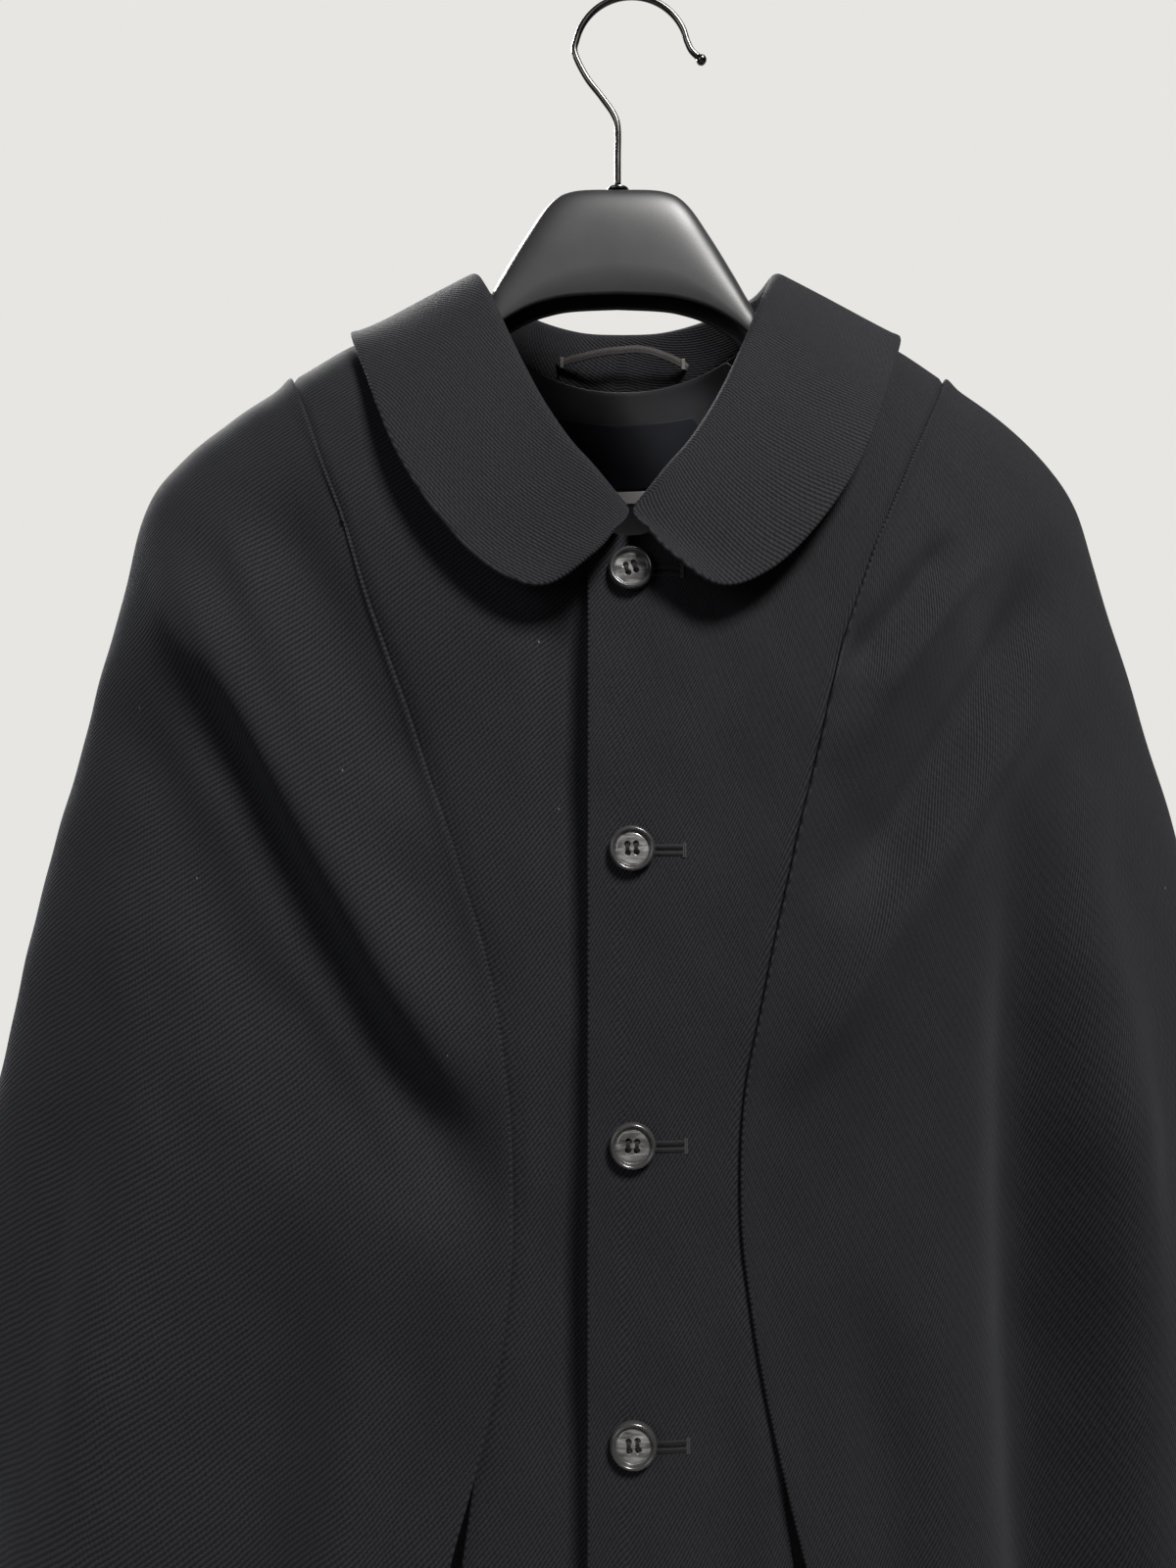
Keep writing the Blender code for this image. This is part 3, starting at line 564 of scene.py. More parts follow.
# %% Rings from the neck to the hem
# half_width, side_z, front_y, front_z, back_y, back_z, middle_x
RINGS = np.array((
    (0.0750, -0.155, -0.066, -0.283, 0.066, -0.176, 0.0040),
    (0.1050, -0.164, -0.069, -0.302, 0.070, -0.196, 0.0034),
    (0.1360, -0.176, -0.072, -0.322, 0.073, -0.218, 0.0018),
    (0.1655, -0.194, -0.075, -0.343, 0.076, -0.243, 0.0000),
    (0.1960, -0.216, -0.077, -0.365, 0.078, -0.270, -0.0018),
    (0.2180, -0.236, -0.079, -0.388, 0.080, -0.298, -0.0030),
    (0.2310, -0.255, -0.081, -0.412, 0.082, -0.326, -0.0034),
    (0.2395, -0.283, -0.083, -0.438, 0.083, -0.358, -0.0032),
    (0.2515, -0.326, -0.085, -0.470, 0.085, -0.402, -0.0024),
    (0.2665, -0.378, -0.087, -0.510, 0.087, -0.454, -0.0014),
    (0.2840, -0.438, -0.090, -0.555, 0.090, -0.512, -0.0006),
    (0.3040, -0.522, -0.095, -0.615, 0.093, -0.585, 0.0000),
    (0.3280, -0.628, -0.102, -0.692, 0.098, -0.675, 0.0000),
    (0.3540, -0.750, -0.110, -0.785, 0.104, -0.778, 0.0000),
    (0.3820, -0.900, -0.119, -0.915, 0.111, -0.913, 0.0000),
    (0.4120, -1.085, -0.130, -1.085, 0.120, -1.085, 0.0000),
))
LAST_ROW = len(RINGS) - 1
NECK_X = RINGS[0, 6]
SQUARENESS = 2.4


def bare_form(turn, row):
    """Points of the form before its folds.

    A ring's x is its half width times the sine of the turn raised to 2 / SQUARENESS, which squares
    it a little. Its y follows the cosine, and its z rises from the middle to the side with the square
    of the share of the half width.
    """
    ring = along(RINGS, row)
    half_width, side_z, front_y, front_z, back_y, back_z, middle_x = np.moveaxis(ring, -1, 0)
    s = np.sin(turn)
    c = np.cos(turn)
    out = np.sign(s) * np.abs(s) ** (2.0 / SQUARENESS)
    y = np.where(c > 0, front_y, -back_y) * c
    middle_z = np.where(c > 0, front_z, back_z)
    return np.stack((middle_x + half_width * out, y, middle_z + (side_z - middle_z) * out**2), axis=-1)


def turn_at_x(x, row):
    """The turn on the front at a distance from the middle: the ring's x formula read backwards."""
    ring = along(RINGS, row)
    ratio = np.clip((x - ring[..., 6]) / ring[..., 0], -1, 1)
    return np.arcsin(np.sign(ratio) * np.abs(ratio) ** (SQUARENESS / 2))


def row_at_height(z):
    """The row whose centre front is at a height."""
    return np.interp(-np.asarray(z), -RINGS[:, 3], np.arange(len(RINGS)))


print("form:", len(RINGS), "rings")

# %% [markdown]
# ## Folds and creases
#
# The weight of the cloth pulls long soft folds from the shoulder points, and the sharper creases
# come from how it was carried. A cloth simulation would give folds of its own choosing, so they are
# listed one by one: each is a soft ridge (or trough, when its height is negative) along a line seen
# from the front or the back. Hidden sides get similar ones.

# %% Tables of folds
FRONT = 1
BACK = -1
FOLD_FADE = 0.25
SIDE_FADE = 0.35
SLOPE_STEP = 0.004
# face, start_x, start_z, end_x, end_z, height, start_width, end_width
FOLDS = (
    (FRONT, -0.236, -0.268, -0.058, -0.560, 0.0075, 0.016, 0.026),
    (FRONT, -0.250, -0.330, -0.098, -0.600, -0.0085, 0.018, 0.030),
    (FRONT, -0.176, -0.240, -0.078, -0.420, -0.0060, 0.016, 0.018),
    (FRONT, -0.140, -0.540, -0.200, -1.085, -0.0130, 0.022, 0.040),
    (FRONT, -0.215, -0.520, -0.285, -1.085, 0.0140, 0.026, 0.042),
    (FRONT, -0.290, -0.640, -0.350, -1.085, -0.0120, 0.022, 0.034),
    (FRONT, 0.205, -0.270, 0.095, -0.460, -0.0065, 0.016, 0.022),
    (FRONT, 0.225, -0.290, 0.066, -0.545, 0.0065, 0.016, 0.024),
    (FRONT, 0.196, -0.520, 0.225, -1.085, -0.0130, 0.024, 0.042),
    (FRONT, 0.245, -0.500, 0.305, -1.085, 0.0120, 0.024, 0.040),
    (FRONT, 0.135, -0.560, 0.160, -1.085, 0.0090, 0.024, 0.036),
    (BACK, -0.220, -0.270, -0.120, -0.560, 0.0060, 0.018, 0.030),
    (BACK, 0.222, -0.270, 0.128, -0.590, 0.0060, 0.018, 0.030),
    (BACK, -0.200, -0.480, -0.235, -1.085, -0.0120, 0.026, 0.042),
    (BACK, 0.190, -0.500, 0.240, -1.085, -0.0130, 0.026, 0.042),
    (BACK, -0.270, -0.600, -0.315, -1.085, 0.0110, 0.026, 0.038),
    (BACK, 0.275, -0.580, 0.320, -1.085, 0.0100, 0.026, 0.038),
    (BACK, -0.050, -0.620, -0.065, -1.085, 0.0080, 0.028, 0.040),
    (BACK, 0.060, -0.560, 0.070, -1.085, 0.0070, 0.028, 0.042),
)
# The finer creases, in the same columns.
CREASES = (
    (FRONT, -0.216, -0.314, -0.050, -0.605, -0.0160, 0.015, 0.019),
    (FRONT, -0.224, -0.268, -0.060, -0.545, 0.0085, 0.014, 0.017),
    (FRONT, 0.182, -0.370, 0.174, -1.085, -0.0205, 0.015, 0.024),
    (FRONT, 0.216, -0.370, 0.228, -1.085, 0.0210, 0.016, 0.026),
    (FRONT, 0.190, -0.272, 0.086, -0.392, 0.0045, 0.010, 0.013),
    (FRONT, 0.200, -0.296, 0.092, -0.454, -0.0060, 0.010, 0.013),
    (FRONT, 0.200, -0.345, 0.070, -0.535, 0.0040, 0.009, 0.011),
    (FRONT, -0.190, -0.262, -0.110, -0.430, 0.0028, 0.008, 0.012),
    (FRONT, -0.205, -0.300, -0.150, -0.420, -0.0020, 0.007, 0.010),
    (FRONT, -0.160, -0.470, -0.090, -0.590, -0.0024, 0.009, 0.012),
    (FRONT, -0.080, -0.600, -0.120, -0.800, -0.0040, 0.010, 0.016),
    (FRONT, -0.110, -0.620, -0.135, -0.860, 0.0030, 0.010, 0.018),
    (FRONT, -0.240, -0.420, -0.205, -0.600, 0.0026, 0.012, 0.018),
    (FRONT, -0.255, -0.520, -0.250, -0.760, -0.0030, 0.012, 0.018),
    (FRONT, 0.156, -0.276, 0.096, -0.348, -0.0042, 0.0055, 0.0070),
    (FRONT, 0.168, -0.290, 0.108, -0.362, 0.0034, 0.0060, 0.0075),
    (FRONT, 0.152, -0.392, 0.066, -0.538, 0.0019, 0.0042, 0.0052),
    (FRONT, 0.160, -0.404, 0.076, -0.545, -0.0014, 0.0050, 0.0060),
    (FRONT, 0.190, -0.330, 0.150, -0.430, -0.0022, 0.009, 0.013),
    (FRONT, 0.232, -0.400, 0.215, -0.560, -0.0030, 0.010, 0.016),
    (FRONT, 0.100, -0.600, 0.128, -0.820, -0.0034, 0.011, 0.017),
    (FRONT, 0.270, -0.520, 0.285, -0.760, -0.0032, 0.011, 0.018),
    (FRONT, -0.030, -0.560, -0.036, -0.760, -0.0014, 0.010, 0.014),
    (FRONT, 0.036, -0.330, 0.030, -0.520, 0.0010, 0.010, 0.014),
    (FRONT, 0.040, -0.600, 0.052, -0.900, -0.0016, 0.010, 0.016),
    (BACK, -0.222, -0.300, -0.128, -0.600, -0.0090, 0.015, 0.020),
    (BACK, 0.218, -0.310, 0.132, -0.570, -0.0080, 0.014, 0.019),
    (BACK, -0.176, -0.420, -0.178, -1.085, -0.0130, 0.015, 0.024),
    (BACK, -0.212, -0.440, -0.226, -1.085, 0.0130, 0.016, 0.025),
    (BACK, 0.165, -0.450, 0.176, -1.085, 0.0110, 0.015, 0.024),
    (BACK, 0.204, -0.430, 0.222, -1.085, -0.0120, 0.016, 0.025),
    (BACK, -0.018, -0.480, -0.022, -1.085, -0.0070, 0.016, 0.028),
    (BACK, -0.170, -0.260, -0.130, -0.420, -0.0028, 0.009, 0.013),
    (BACK, 0.165, -0.262, 0.128, -0.410, -0.0026, 0.009, 0.013),
    (BACK, -0.240, -0.360, -0.200, -0.560, 0.0026, 0.011, 0.016),
    (BACK, 0.236, -0.380, 0.205, -0.580, 0.0024, 0.011, 0.016),
    (BACK, 0.010, -0.300, -0.012, -0.560, -0.0018, 0.014, 0.020),
    (BACK, -0.110, -0.600, -0.130, -0.900, -0.0030, 0.012, 0.020),
    (BACK, 0.118, -0.580, 0.140, -0.900, -0.0030, 0.012, 0.020),
)
# height of a wave, its radians to the metre along x, y and z, how far it bends, and the bend's radians
SLACK = (
    (0.00032, (61, 0, 23), 2.0, (0, 9, 17)),
    (0.00024, (-41, 0, 97), 1.5, (29, 0, 0)),
    (0.00012, (170, 80, 140), 0.0, (0, 0, 0)),
)


def fold_height(point, face_side, table):
    """How far folds stand out: height times a bell curve of the distance from each line.

    A fold fades in over its first quarter, and out over its last unless it runs to the hem.
    """
    x = point[..., 0]
    z = point[..., 2]
    height = np.zeros_like(x)
    for face, x0, z0, x1, z1, rise, wide0, wide1 in table:
        length = math.hypot(x1 - x0, z1 - z0)
        ux = (x1 - x0) / length
        uz = (z1 - z0) / length
        far = ((x - x0) * ux + (z - z0) * uz) / length
        off = (x - x0) * uz - (z - z0) * ux
        wide = wide0 + (wide1 - wide0) * np.clip(far, 0, 1)
        fade = smoothstep(far / FOLD_FADE)
        if z1 > RINGS[LAST_ROW, 1]:
            fade = fade * smoothstep((1.0 - far) / FOLD_FADE)
        height = height + rise * fade * np.exp(-(off / wide) ** 2) * (face_side == face)
    return height


def slack(point):
    """The small unevenness of hung cloth: a few crossing sine waves, each bent by another one."""
    height = np.zeros(point.shape[:-1])
    for tall, run, bend, bend_run in SLACK:
        height = height + tall * np.sin(point @ run + bend * np.sin(point @ bend_run))
    return height


def across(function, turn, row):
    """Directions out of a surface: the cross product of its slopes down and round."""
    round_it = function(turn + SLOPE_STEP, row) - function(turn - SLOPE_STEP, row)
    below = function(turn, np.minimum(row + SLOPE_STEP, LAST_ROW))
    above = function(turn, np.maximum(row - SLOPE_STEP, 0))
    return unit(np.cross(below - above, round_it))


def form(turn, row):
    """Points of the coat's outer face: the rings, moved out by folds, creases and slack.

    Folds fade towards the side edges of the coat, where front and back meet.
    """
    point = bare_form(turn, row)
    c = np.cos(turn)
    face = np.where(c > 0, FRONT, BACK)
    depth = smoothstep(np.abs(c) / SIDE_FADE)
    rise = (fold_height(point, face, FOLDS) + fold_height(point, face, CREASES)) * depth + slack(point)
    return point + rise[..., None] * across(bare_form, turn, row)


print("folds:", len(FOLDS), "creases:", len(CREASES))

# %% [markdown]
# ## Cloth coordinates
#
# Twill is woven straight and then cut, so its lines follow the panel and not the world. The
# distance round each ring and the distance down from the neck unroll the form, and a turn of 55
# degrees lays the twill at the slant that the fronts show. On the capes the same rule makes the
# lines swing with the shoulder.

# %% Unrolling the form
TWILL_SLANT = math.radians(55.0)
TURNS = np.radians(np.arange(-180.0, 281.0, 1.0))
ROWS = np.linspace(0.0, LAST_ROW, 181)


def unrolled_tables():
    """Lengths round and down at every degree and row of the form."""
    turn, row = np.meshgrid(TURNS, ROWS)
    points = bare_form(turn, row)
    return running_length(points, 1), running_length(points, 0)


ROUND, DOWN = unrolled_tables()


def read_table(table, turn, row):
    """A table of the form read between its entries."""
    i = np.clip(row / ROWS[1], 0, len(ROWS) - 1.001)
    j = np.clip((turn - TURNS[0]) / (TURNS[1] - TURNS[0]), 0, len(TURNS) - 1.001)
    i0 = i.astype(int)
    j0 = j.astype(int)
    p = i - i0
    q = j - j0
    return ((table[i0, j0] * (1 - q) + table[i0, j0 + 1] * q) * (1 - p)
            + (table[i0 + 1, j0] * (1 - q) + table[i0 + 1, j0 + 1] * q) * p)


def twill_uv(u, v, slant=TWILL_SLANT):
    """Cloth coordinates turned so that U runs along the twill and V across it."""
    return np.stack((u * math.cos(slant) - v * math.sin(slant),
                     u * math.sin(slant) + v * math.cos(slant)), axis=-1)


def panel_uv(turn, row, middle):
    """Twill coordinates of a panel, with lengths round measured from its middle turn."""
    u = read_table(ROUND, turn, row) - read_table(ROUND, np.full_like(turn, middle), row)
    return twill_uv(u, read_table(DOWN, turn, row))


print("hem is", round(float(ROUND[-1, -1] - ROUND[-1, 0]), 3), "m round")

# %% [markdown]
# ## Seams and panels
#
# The cape is set into a curved seam that starts on top of the shoulder, runs in to the waist and out
# again, and is left open lower down for the arm. Fronts and back are cut as lines from the middle of
# the coat to that seam. The cape is a patch between its top edge, two sides and the hem. The wearer's
# left front laps over the right, so it is lifted near its edge.

# %% The seam table and panel edges
# middle_row, front_row, right_turn, left_turn, back_row, back_turn
SEAMS = np.array((
    (1.200, 2.930, 90.0, 90.0, 2.930, 90.0),
    (1.650, 2.900, 74.5, 72.0, 3.000, 101.0),
    (2.150, 2.990, 59.0, 52.8, 3.150, 110.0),
    (2.750, 3.325, 42.4, 38.2, 3.450, 120.5),
    (3.500, 3.950, 30.5, 28.2, 4.000, 131.5),
    (4.500, 4.840, 22.0, 22.3, 4.840, 140.5),
    (5.800, 6.050, 16.4, 18.1, 6.050, 147.0),
    (7.050, 7.225, 12.5, 14.8, 7.225, 151.0),
    (8.300, 8.410, 9.1, 11.2, 8.410, 155.0),
    (9.400, 9.460, 7.3, 8.3, 9.460, 158.3),
    (10.400, 10.410, 6.5, 7.1, 10.410, 160.4),
    (11.100, 11.100, 6.5, 7.3, 11.100, 161.4),
    (11.775, 11.775, 7.4, 8.2, 11.775, 162.0),
    (12.400, 12.400, 8.5, 9.0, 12.400, 162.1),
    (13.500, 13.500, 10.1, 10.6, 13.500, 161.6),
    (15.000, 15.000, 14.0, 14.4, 15.000, 159.8),
))
CAPE_CORNER = 3.0 / (len(SEAMS) - 1)
CLOTH = 0.0020
BUTTON_X = 0.0040
LAP = 0.0195
LAP_FULL = 0.012
LAP_LIFT = 0.0032
LAP_SINK = 0.0016
LAP_FADE = 0.030
# The right front hollows beside the lapped edge, which deepens its shadow, most near HOLLOW_MOST.
LAP_HOLLOW = 0.0088
HOLLOW_X = -0.0225
HOLLOW_WIDE = 0.0105
HOLLOW_TOP = -0.290
HOLLOW_FADE = 0.050
HOLLOW_MOST = -0.370
HOLLOW_SWING = 0.3
HOLLOW_WAVE = 25.0
SLIT_TOP = -0.648
SLIT_LENGTH = 0.240
SLIT_GAP = 0.0040
SLIT_LIFT = 0.006
SLIT_BOW = 0.18
# An edge's place runs from 0 at the neck to 1 at the seam's top, 2 at the cape's corner, 3 at the hem.
BODY_PLACES = np.concatenate((np.linspace(0.0, 1.0, 25), np.linspace(1.0, 2.0, 55)[1:],
                              np.linspace(2.0, 3.0, 261)[1:]))
FRONT_LINES = 46
BACK_LINES = 100
CAPE_OVER_FRONT = 92
CAPE_OVER_BACK = 56
CAPE_DOWN = 266
# The cape's edge stands proud of the seam, and the front and back dip and run under it.
EDGE_LIFT = 0.0017
EDGE_DIP = 0.0014
EDGE_FADE = 0.0060
UNDER = 0.0035
UNDER_FROM = 0.85
UNDER_FADE = 0.30
# Where the arm slit stands open, the front's edge is drawn back by this much from under the cape.
SLIT_BARE = 0.0058
FREE_EDGE = 0.0012
CAPE_EDGE = 0.0006
DRAW_REACH = 0.0070


def seam_line(side, face, place):
    """Places on the form along a seam, with places counted from 0 to 1."""
    seam = along(SEAMS, (len(SEAMS) - 1.0) * place)
    if face == BACK:
        return np.stack((side * np.radians(seam[:, 5]), seam[:, 4]), axis=-1)
    turn = seam[:, 3] if side > 0 else seam[:, 2]
    return np.stack((side * np.radians(turn), seam[:, 1]), axis=-1)


def body_edge(side, face, place):
    """The outer edge of a front or of half the back, with the row at which each line starts.

    The edge runs straight out along the shoulder, then over the top of the cape and down its side.
    """
    share = np.where(place < 2, CAPE_CORNER * (place - 1), CAPE_CORNER + (1 - CAPE_CORNER) * (place - 2))
    edge = seam_line(side, face, np.maximum(share, 0.0))
    middle = along(SEAMS, (len(SEAMS) - 1.0) * np.maximum(share, 0.0))[:, 0]
    shoulder = np.clip(place, 0, 1)
    edge[:, 1] *= shoulder
    return edge, middle * shoulder


def patch(top, bottom, left, right):
    """Places inside four edges: the blend across plus the blend down, less the corners' blend."""
    a = np.linspace(0.0, 1.0, len(top))[None, :, None]
    b = np.linspace(0.0, 1.0, len(left))[:, None, None]
    across_it = (1 - b) * top[None] + b * bottom[None]
    down_it = (1 - a) * left[:, None] + a * right[:, None]
    corners = ((1 - a) * (1 - b) * top[0] + a * (1 - b) * top[-1]
               + (1 - a) * b * bottom[0] + a * b * bottom[-1])
    return across_it + down_it - corners


def drawn_in(grid, first_row, last_row, first_column, last_column):
    """A grid with its four sides drawn in by distances, square to themselves.

    A distance is one number or one for each point of its side, and a negative one lets the side
    out. The points within a few millimetres follow by a falling share, so that none is overtaken.
    At a flat corner, where two sides pull the same way, the pulls are divided by one plus the dot
    product of their directions, so that they don't count twice.
    """
    shift = np.zeros_like(grid)
    ways = [np.zeros_like(grid), np.zeros_like(grid)]
    sides = ((0, False, first_row), (0, True, last_row), (1, False, first_column), (1, True, last_column))
    for axis, far_side, distance in sides:
        face = np.flip(grid, axis) if far_side else grid
        edge = np.take(face, 0, axis)
        line = unit(np.gradient(edge, axis=0))
        way = np.take(face, 1, axis) - edge
        way = unit(way - (way * line).sum(-1, keepdims=True) * line)
        share = np.clip(1 - running_length(face, axis) / DRAW_REACH, 0, 1)[..., None] ** 2
        pull = share * np.expand_dims(way, axis)
        drawn = pull * np.expand_dims(np.broadcast_to(distance, edge.shape[:1])[:, None], axis)
        ways[axis] += np.flip(pull, axis) if far_side else pull
        shift += np.flip(drawn, axis) if far_side else drawn
    shared = np.maximum((ways[0] * ways[1]).sum(-1, keepdims=True), 0.0)
    return grid + shift / (1.0 + shared)


def lap_lift(x, amount):
    """The lift of a front near its lapped edge: full up to a distance, then fading."""
    return amount * (1.0 - smoothstep((x - LAP_FULL) / LAP_FADE))


def lap_hollow(x, z):
    """How deep the right front hollows: a bell curve across, and a slow wave down from the neck."""
    swing = 1.0 + HOLLOW_SWING * np.cos(HOLLOW_WAVE * (z - HOLLOW_MOST))
    deep = LAP_HOLLOW * smoothstep((HOLLOW_TOP - z) / HOLLOW_FADE) * swing
    return deep * np.exp(-((x - HOLLOW_X) / HOLLOW_WIDE) ** 2)


def slit(point_z):
    """How far the arm slit is open at a height: a squared sine from its top to its foot."""
    t = np.clip((SLIT_TOP - point_z) / SLIT_LENGTH, 0, 1)
    return np.sin(math.pi * t) ** 2


def faces_of(turn, row, lift, sides):
    """The outer and inner points of a cloth wall on the form, its four sides drawn in."""
    out = across(form, turn, row)
    outer = drawn_in(form(turn, row) + np.asarray(lift)[..., None] * out, *sides)
    return outer, outer - CLOTH * out


def under_cape(place):
    """How far a body panel's edge runs under the cape: none along the shoulder, full below it."""
    return smoothstep((place - UNDER_FROM) / UNDER_FADE)


def body_side(place, open_slit=0.0):
    """What a body panel's outer side is drawn in by: a seam's gap on the shoulder, then let out.

    It is let out under the cape, and bared where the slit stands open.
    """
    under = under_cape(place)
    return FREE_EDGE * (1 - under) - (UNDER - SLIT_BARE * np.sqrt(open_slit)) * under


def dip(from_seam, place):
    """How far a body panel sinks near the cape's edge: a bell curve of the distance from it."""
    return -EDGE_DIP * under_cape(place)[:, None] * np.exp(-(from_seam / EDGE_FADE) ** 2)


def wool_panel(name, turn, row, lift, middle, sides):
    """A wool panel in place of the node of the same name."""
    outer, inner = faces_of(turn, row, lift, sides)
    wide = running_length(outer, 1)[:, -1].max()
    long = running_length(outer, 0)[-1].max()
    print(name, round(wide, 3), "m wide", round(long, 3), "m long")
    piece = cloth_wall(name + "_cloth", outer, inner, panel_uv(turn, row, middle), WOOL)
    return dress(piece, name)


print("seams:", len(SEAMS), "rows")

# %% [markdown]
# ## The two fronts
#
# Each front is cut as a fan of straight lines from the lapped edge to the shoulder and seam.


# %% Fronts
def front(name, side):
    """A front: lines from the lapped edge to its outer edge, lifted or sunk for the lap."""
    end, row = body_edge(side, FRONT, BODY_PLACES)
    start = np.stack((turn_at_x(np.full_like(row, BUTTON_X - side * LAP), row), row), axis=-1)
    t = np.linspace(0.0, 1.0, FRONT_LINES + 1)[None, :, None]
    turn, row = np.moveaxis(start[:, None] + t * (end - start)[:, None], -1, 0)
    point = form(turn, row)
    lift = lap_lift(side * (point[..., 0] - BUTTON_X), LAP_LIFT if side > 0 else -LAP_SINK)
    if side < 0:
        lift = lift - lap_hollow(point[..., 0], point[..., 2])
    from_seam = np.flip(running_length(np.flip(point, 1), 1), 1)
    sides = (FREE_EDGE, FREE_EDGE, FREE_EDGE, body_side(BODY_PLACES, slit(point[:, -1, 2])))
    return wool_panel(name, turn, row, lift + dip(from_seam, BODY_PLACES), 0.0, sides)


FRONT_LEFT = front("front_left", 1)
FRONT_RIGHT = front("front_right", -1)

# %% [markdown]
# ## The two capes
#
# A cape is a patch: its top edge goes over the shoulder, its sides follow the front and back seams.
# Its pressed front edge stands a little proud, and where the seam is left open for the arm it bows
# away from the front.


# %% Capes
def gap_turn(distance, row):
    """The change of turn that moves a seam's edge by a distance: distance over the mean radius."""
    ring = along(RINGS, row)
    return distance / (0.5 * (ring[..., 0] - ring[..., 2]))


def cape(name, side):
    """A cape between its four edges, with the slit's gap taken off its front edge."""
    over_front = np.linspace(CAPE_CORNER, 0.0, CAPE_OVER_FRONT + 1)
    over_back = np.linspace(0.0, CAPE_CORNER, CAPE_OVER_BACK + 1)[1:]
    down = CAPE_CORNER + (1.0 - CAPE_CORNER) * np.linspace(0.0, 1.0, CAPE_DOWN + 1)
    top = np.concatenate((seam_line(side, FRONT, over_front), seam_line(side, BACK, over_back)))
    start = seam_line(side, FRONT, down)
    end = seam_line(side, BACK, down)
    open_slit = slit(bare_form(start[:, 0], start[:, 1])[:, 2])
    start[:, 0] += side * gap_turn(SLIT_GAP * open_slit, start[:, 1])
    inward = np.linspace(0.0, 1.0, len(top))
    hem = start[-1] + inward[:, None] * (end[-1] - start[-1])
    turn, row = np.moveaxis(patch(top, hem, start, end), -1, 0)
    point = form(turn, row)
    from_back = np.flip(running_length(np.flip(point, 1), 1), 1)
    from_edge = np.minimum(np.minimum(running_length(point, 1), running_length(point, 0)), from_back)
    lift = (SLIT_LIFT * open_slit[:, None] * (1.0 - smoothstep(inward / SLIT_BOW))
            + EDGE_LIFT * np.exp(-(from_edge / EDGE_FADE) ** 2))
    return wool_panel(name, turn, row, lift, 0.0, (CAPE_EDGE, FREE_EDGE, CAPE_EDGE, CAPE_EDGE))


CAPE_LEFT = cape("cape_left", 1)
CAPE_RIGHT = cape("cape_right", -1)

# %% [markdown]
# ## The back
#
# The back lies between the two back seams. Nobody sees it in the photograph, so it is finished
# plainly, with soft folds like those of the front.


# %% Back
def back_places(place, t):
    """Places on the back: turns even between the two edges, rows dropping to them as t squared."""
    left, middle = body_edge(1, BACK, place)
    right, _ = body_edge(-1, BACK, place)
    right = right + (2 * math.pi, 0.0)
    turn = left[:, :1] + (right - left)[:, :1] * (t + 1) / 2
    row = middle[:, None] + (left[:, 1] - middle)[:, None] * t**2
    return turn, row


def back(name):
    """The back, dipping under both capes."""
    turn, row = back_places(BODY_PLACES, np.linspace(-1.0, 1.0, BACK_LINES + 1))
    point = form(turn, row)
    from_seam = np.minimum(running_length(point, 1), np.flip(running_length(np.flip(point, 1), 1), 1))
    side = body_side(BODY_PLACES)
    return wool_panel(name, turn, row, dip(from_seam, BODY_PLACES), math.pi,
                      (FREE_EDGE, FREE_EDGE, side, side))


BACK_PANEL = back("back")

# %% [markdown]
# ## The collar
#
# A round collar cut in one with its stand: it rises from the neck seam, rolls over and falls on the
# shoulders in two rounded leaves. It is lofted through sections from the centre front to the centre
# back, each a stand, a half circle and a fall, and the fall is pushed clear of the coat beneath.

# %% Collar
# neck_turn, roll_x, roll_y, roll_z, edge_x, edge_y, edge_z
COLLAR = np.array((
    (4.0, 0.0014, -0.0722, -0.2700, 0.0072, -0.0797, -0.2825),
    (12.0, 0.0078, -0.0701, -0.2618, 0.0190, -0.0810, -0.2950),
    (17.5, 0.0160, -0.0670, -0.2510, 0.0390, -0.0830, -0.3070),
    (27.5, 0.0270, -0.0620, -0.2375, 0.0610, -0.0815, -0.2990),
    (39.0, 0.0400, -0.0530, -0.2160, 0.0830, -0.0770, -0.2770),
    (54.0, 0.0530, -0.0400, -0.1880, 0.1040, -0.0670, -0.2450),
    (67.0, 0.0650, -0.0220, -0.1580, 0.1210, -0.0460, -0.2050),
    (90.0, 0.0730, 0.0020, -0.1380, 0.1350, -0.0030, -0.1690),
    (115.0, 0.0670, 0.0330, -0.1370, 0.1180, 0.0460, -0.1800),
    (140.0, 0.0450, 0.0580, -0.1390, 0.0780, 0.0790, -0.2000),
    (160.0, 0.0220, 0.0700, -0.1410, 0.0380, 0.0900, -0.2110),
    (180.0, 0.0000, 0.0730, -0.1410, 0.0000, 0.0930, -0.2140),
))
COLLAR_CLOTH = 0.0020
COLLAR_SEAT = 0.0015
# The roll's radius, its largest share of the stand, and its share at the collar's two ends.
COLLAR_ROLL = 0.0042
ROLL_OF_STAND = 0.34
ROLL_AT_END = 0.30
END_FADE = 0.16
FALL_CROWN = 0.004
COLLAR_CLEAR = 0.0046
CLEAR_SOFTLY = 0.0006
# The front leaves stand off the coat towards their edge. From FLARE_TURN, in degrees from the front,
# this fades until only a small share is left at the shoulders.
COLLAR_FLARE = 0.0110
FLARE_TURN = 45.0
FLARE_FADE = 35.0
SIDE_FLAT = 0.85
COLLAR_SECTIONS = 110
SECTION_CROWD = 1.1
COLLAR_EASE = 4
POINT_LOTS = 24
COLLAR_SLANT = math.radians(30.0)
COLLAR_UNROLLED = 0.77
STAND = np.linspace(0.0, 1.0, 9)
ROLL_ANGLES = np.radians(np.linspace(0.0, 180.0, 13))
FALL = np.linspace(0.0, 1.0, 27)[1:]


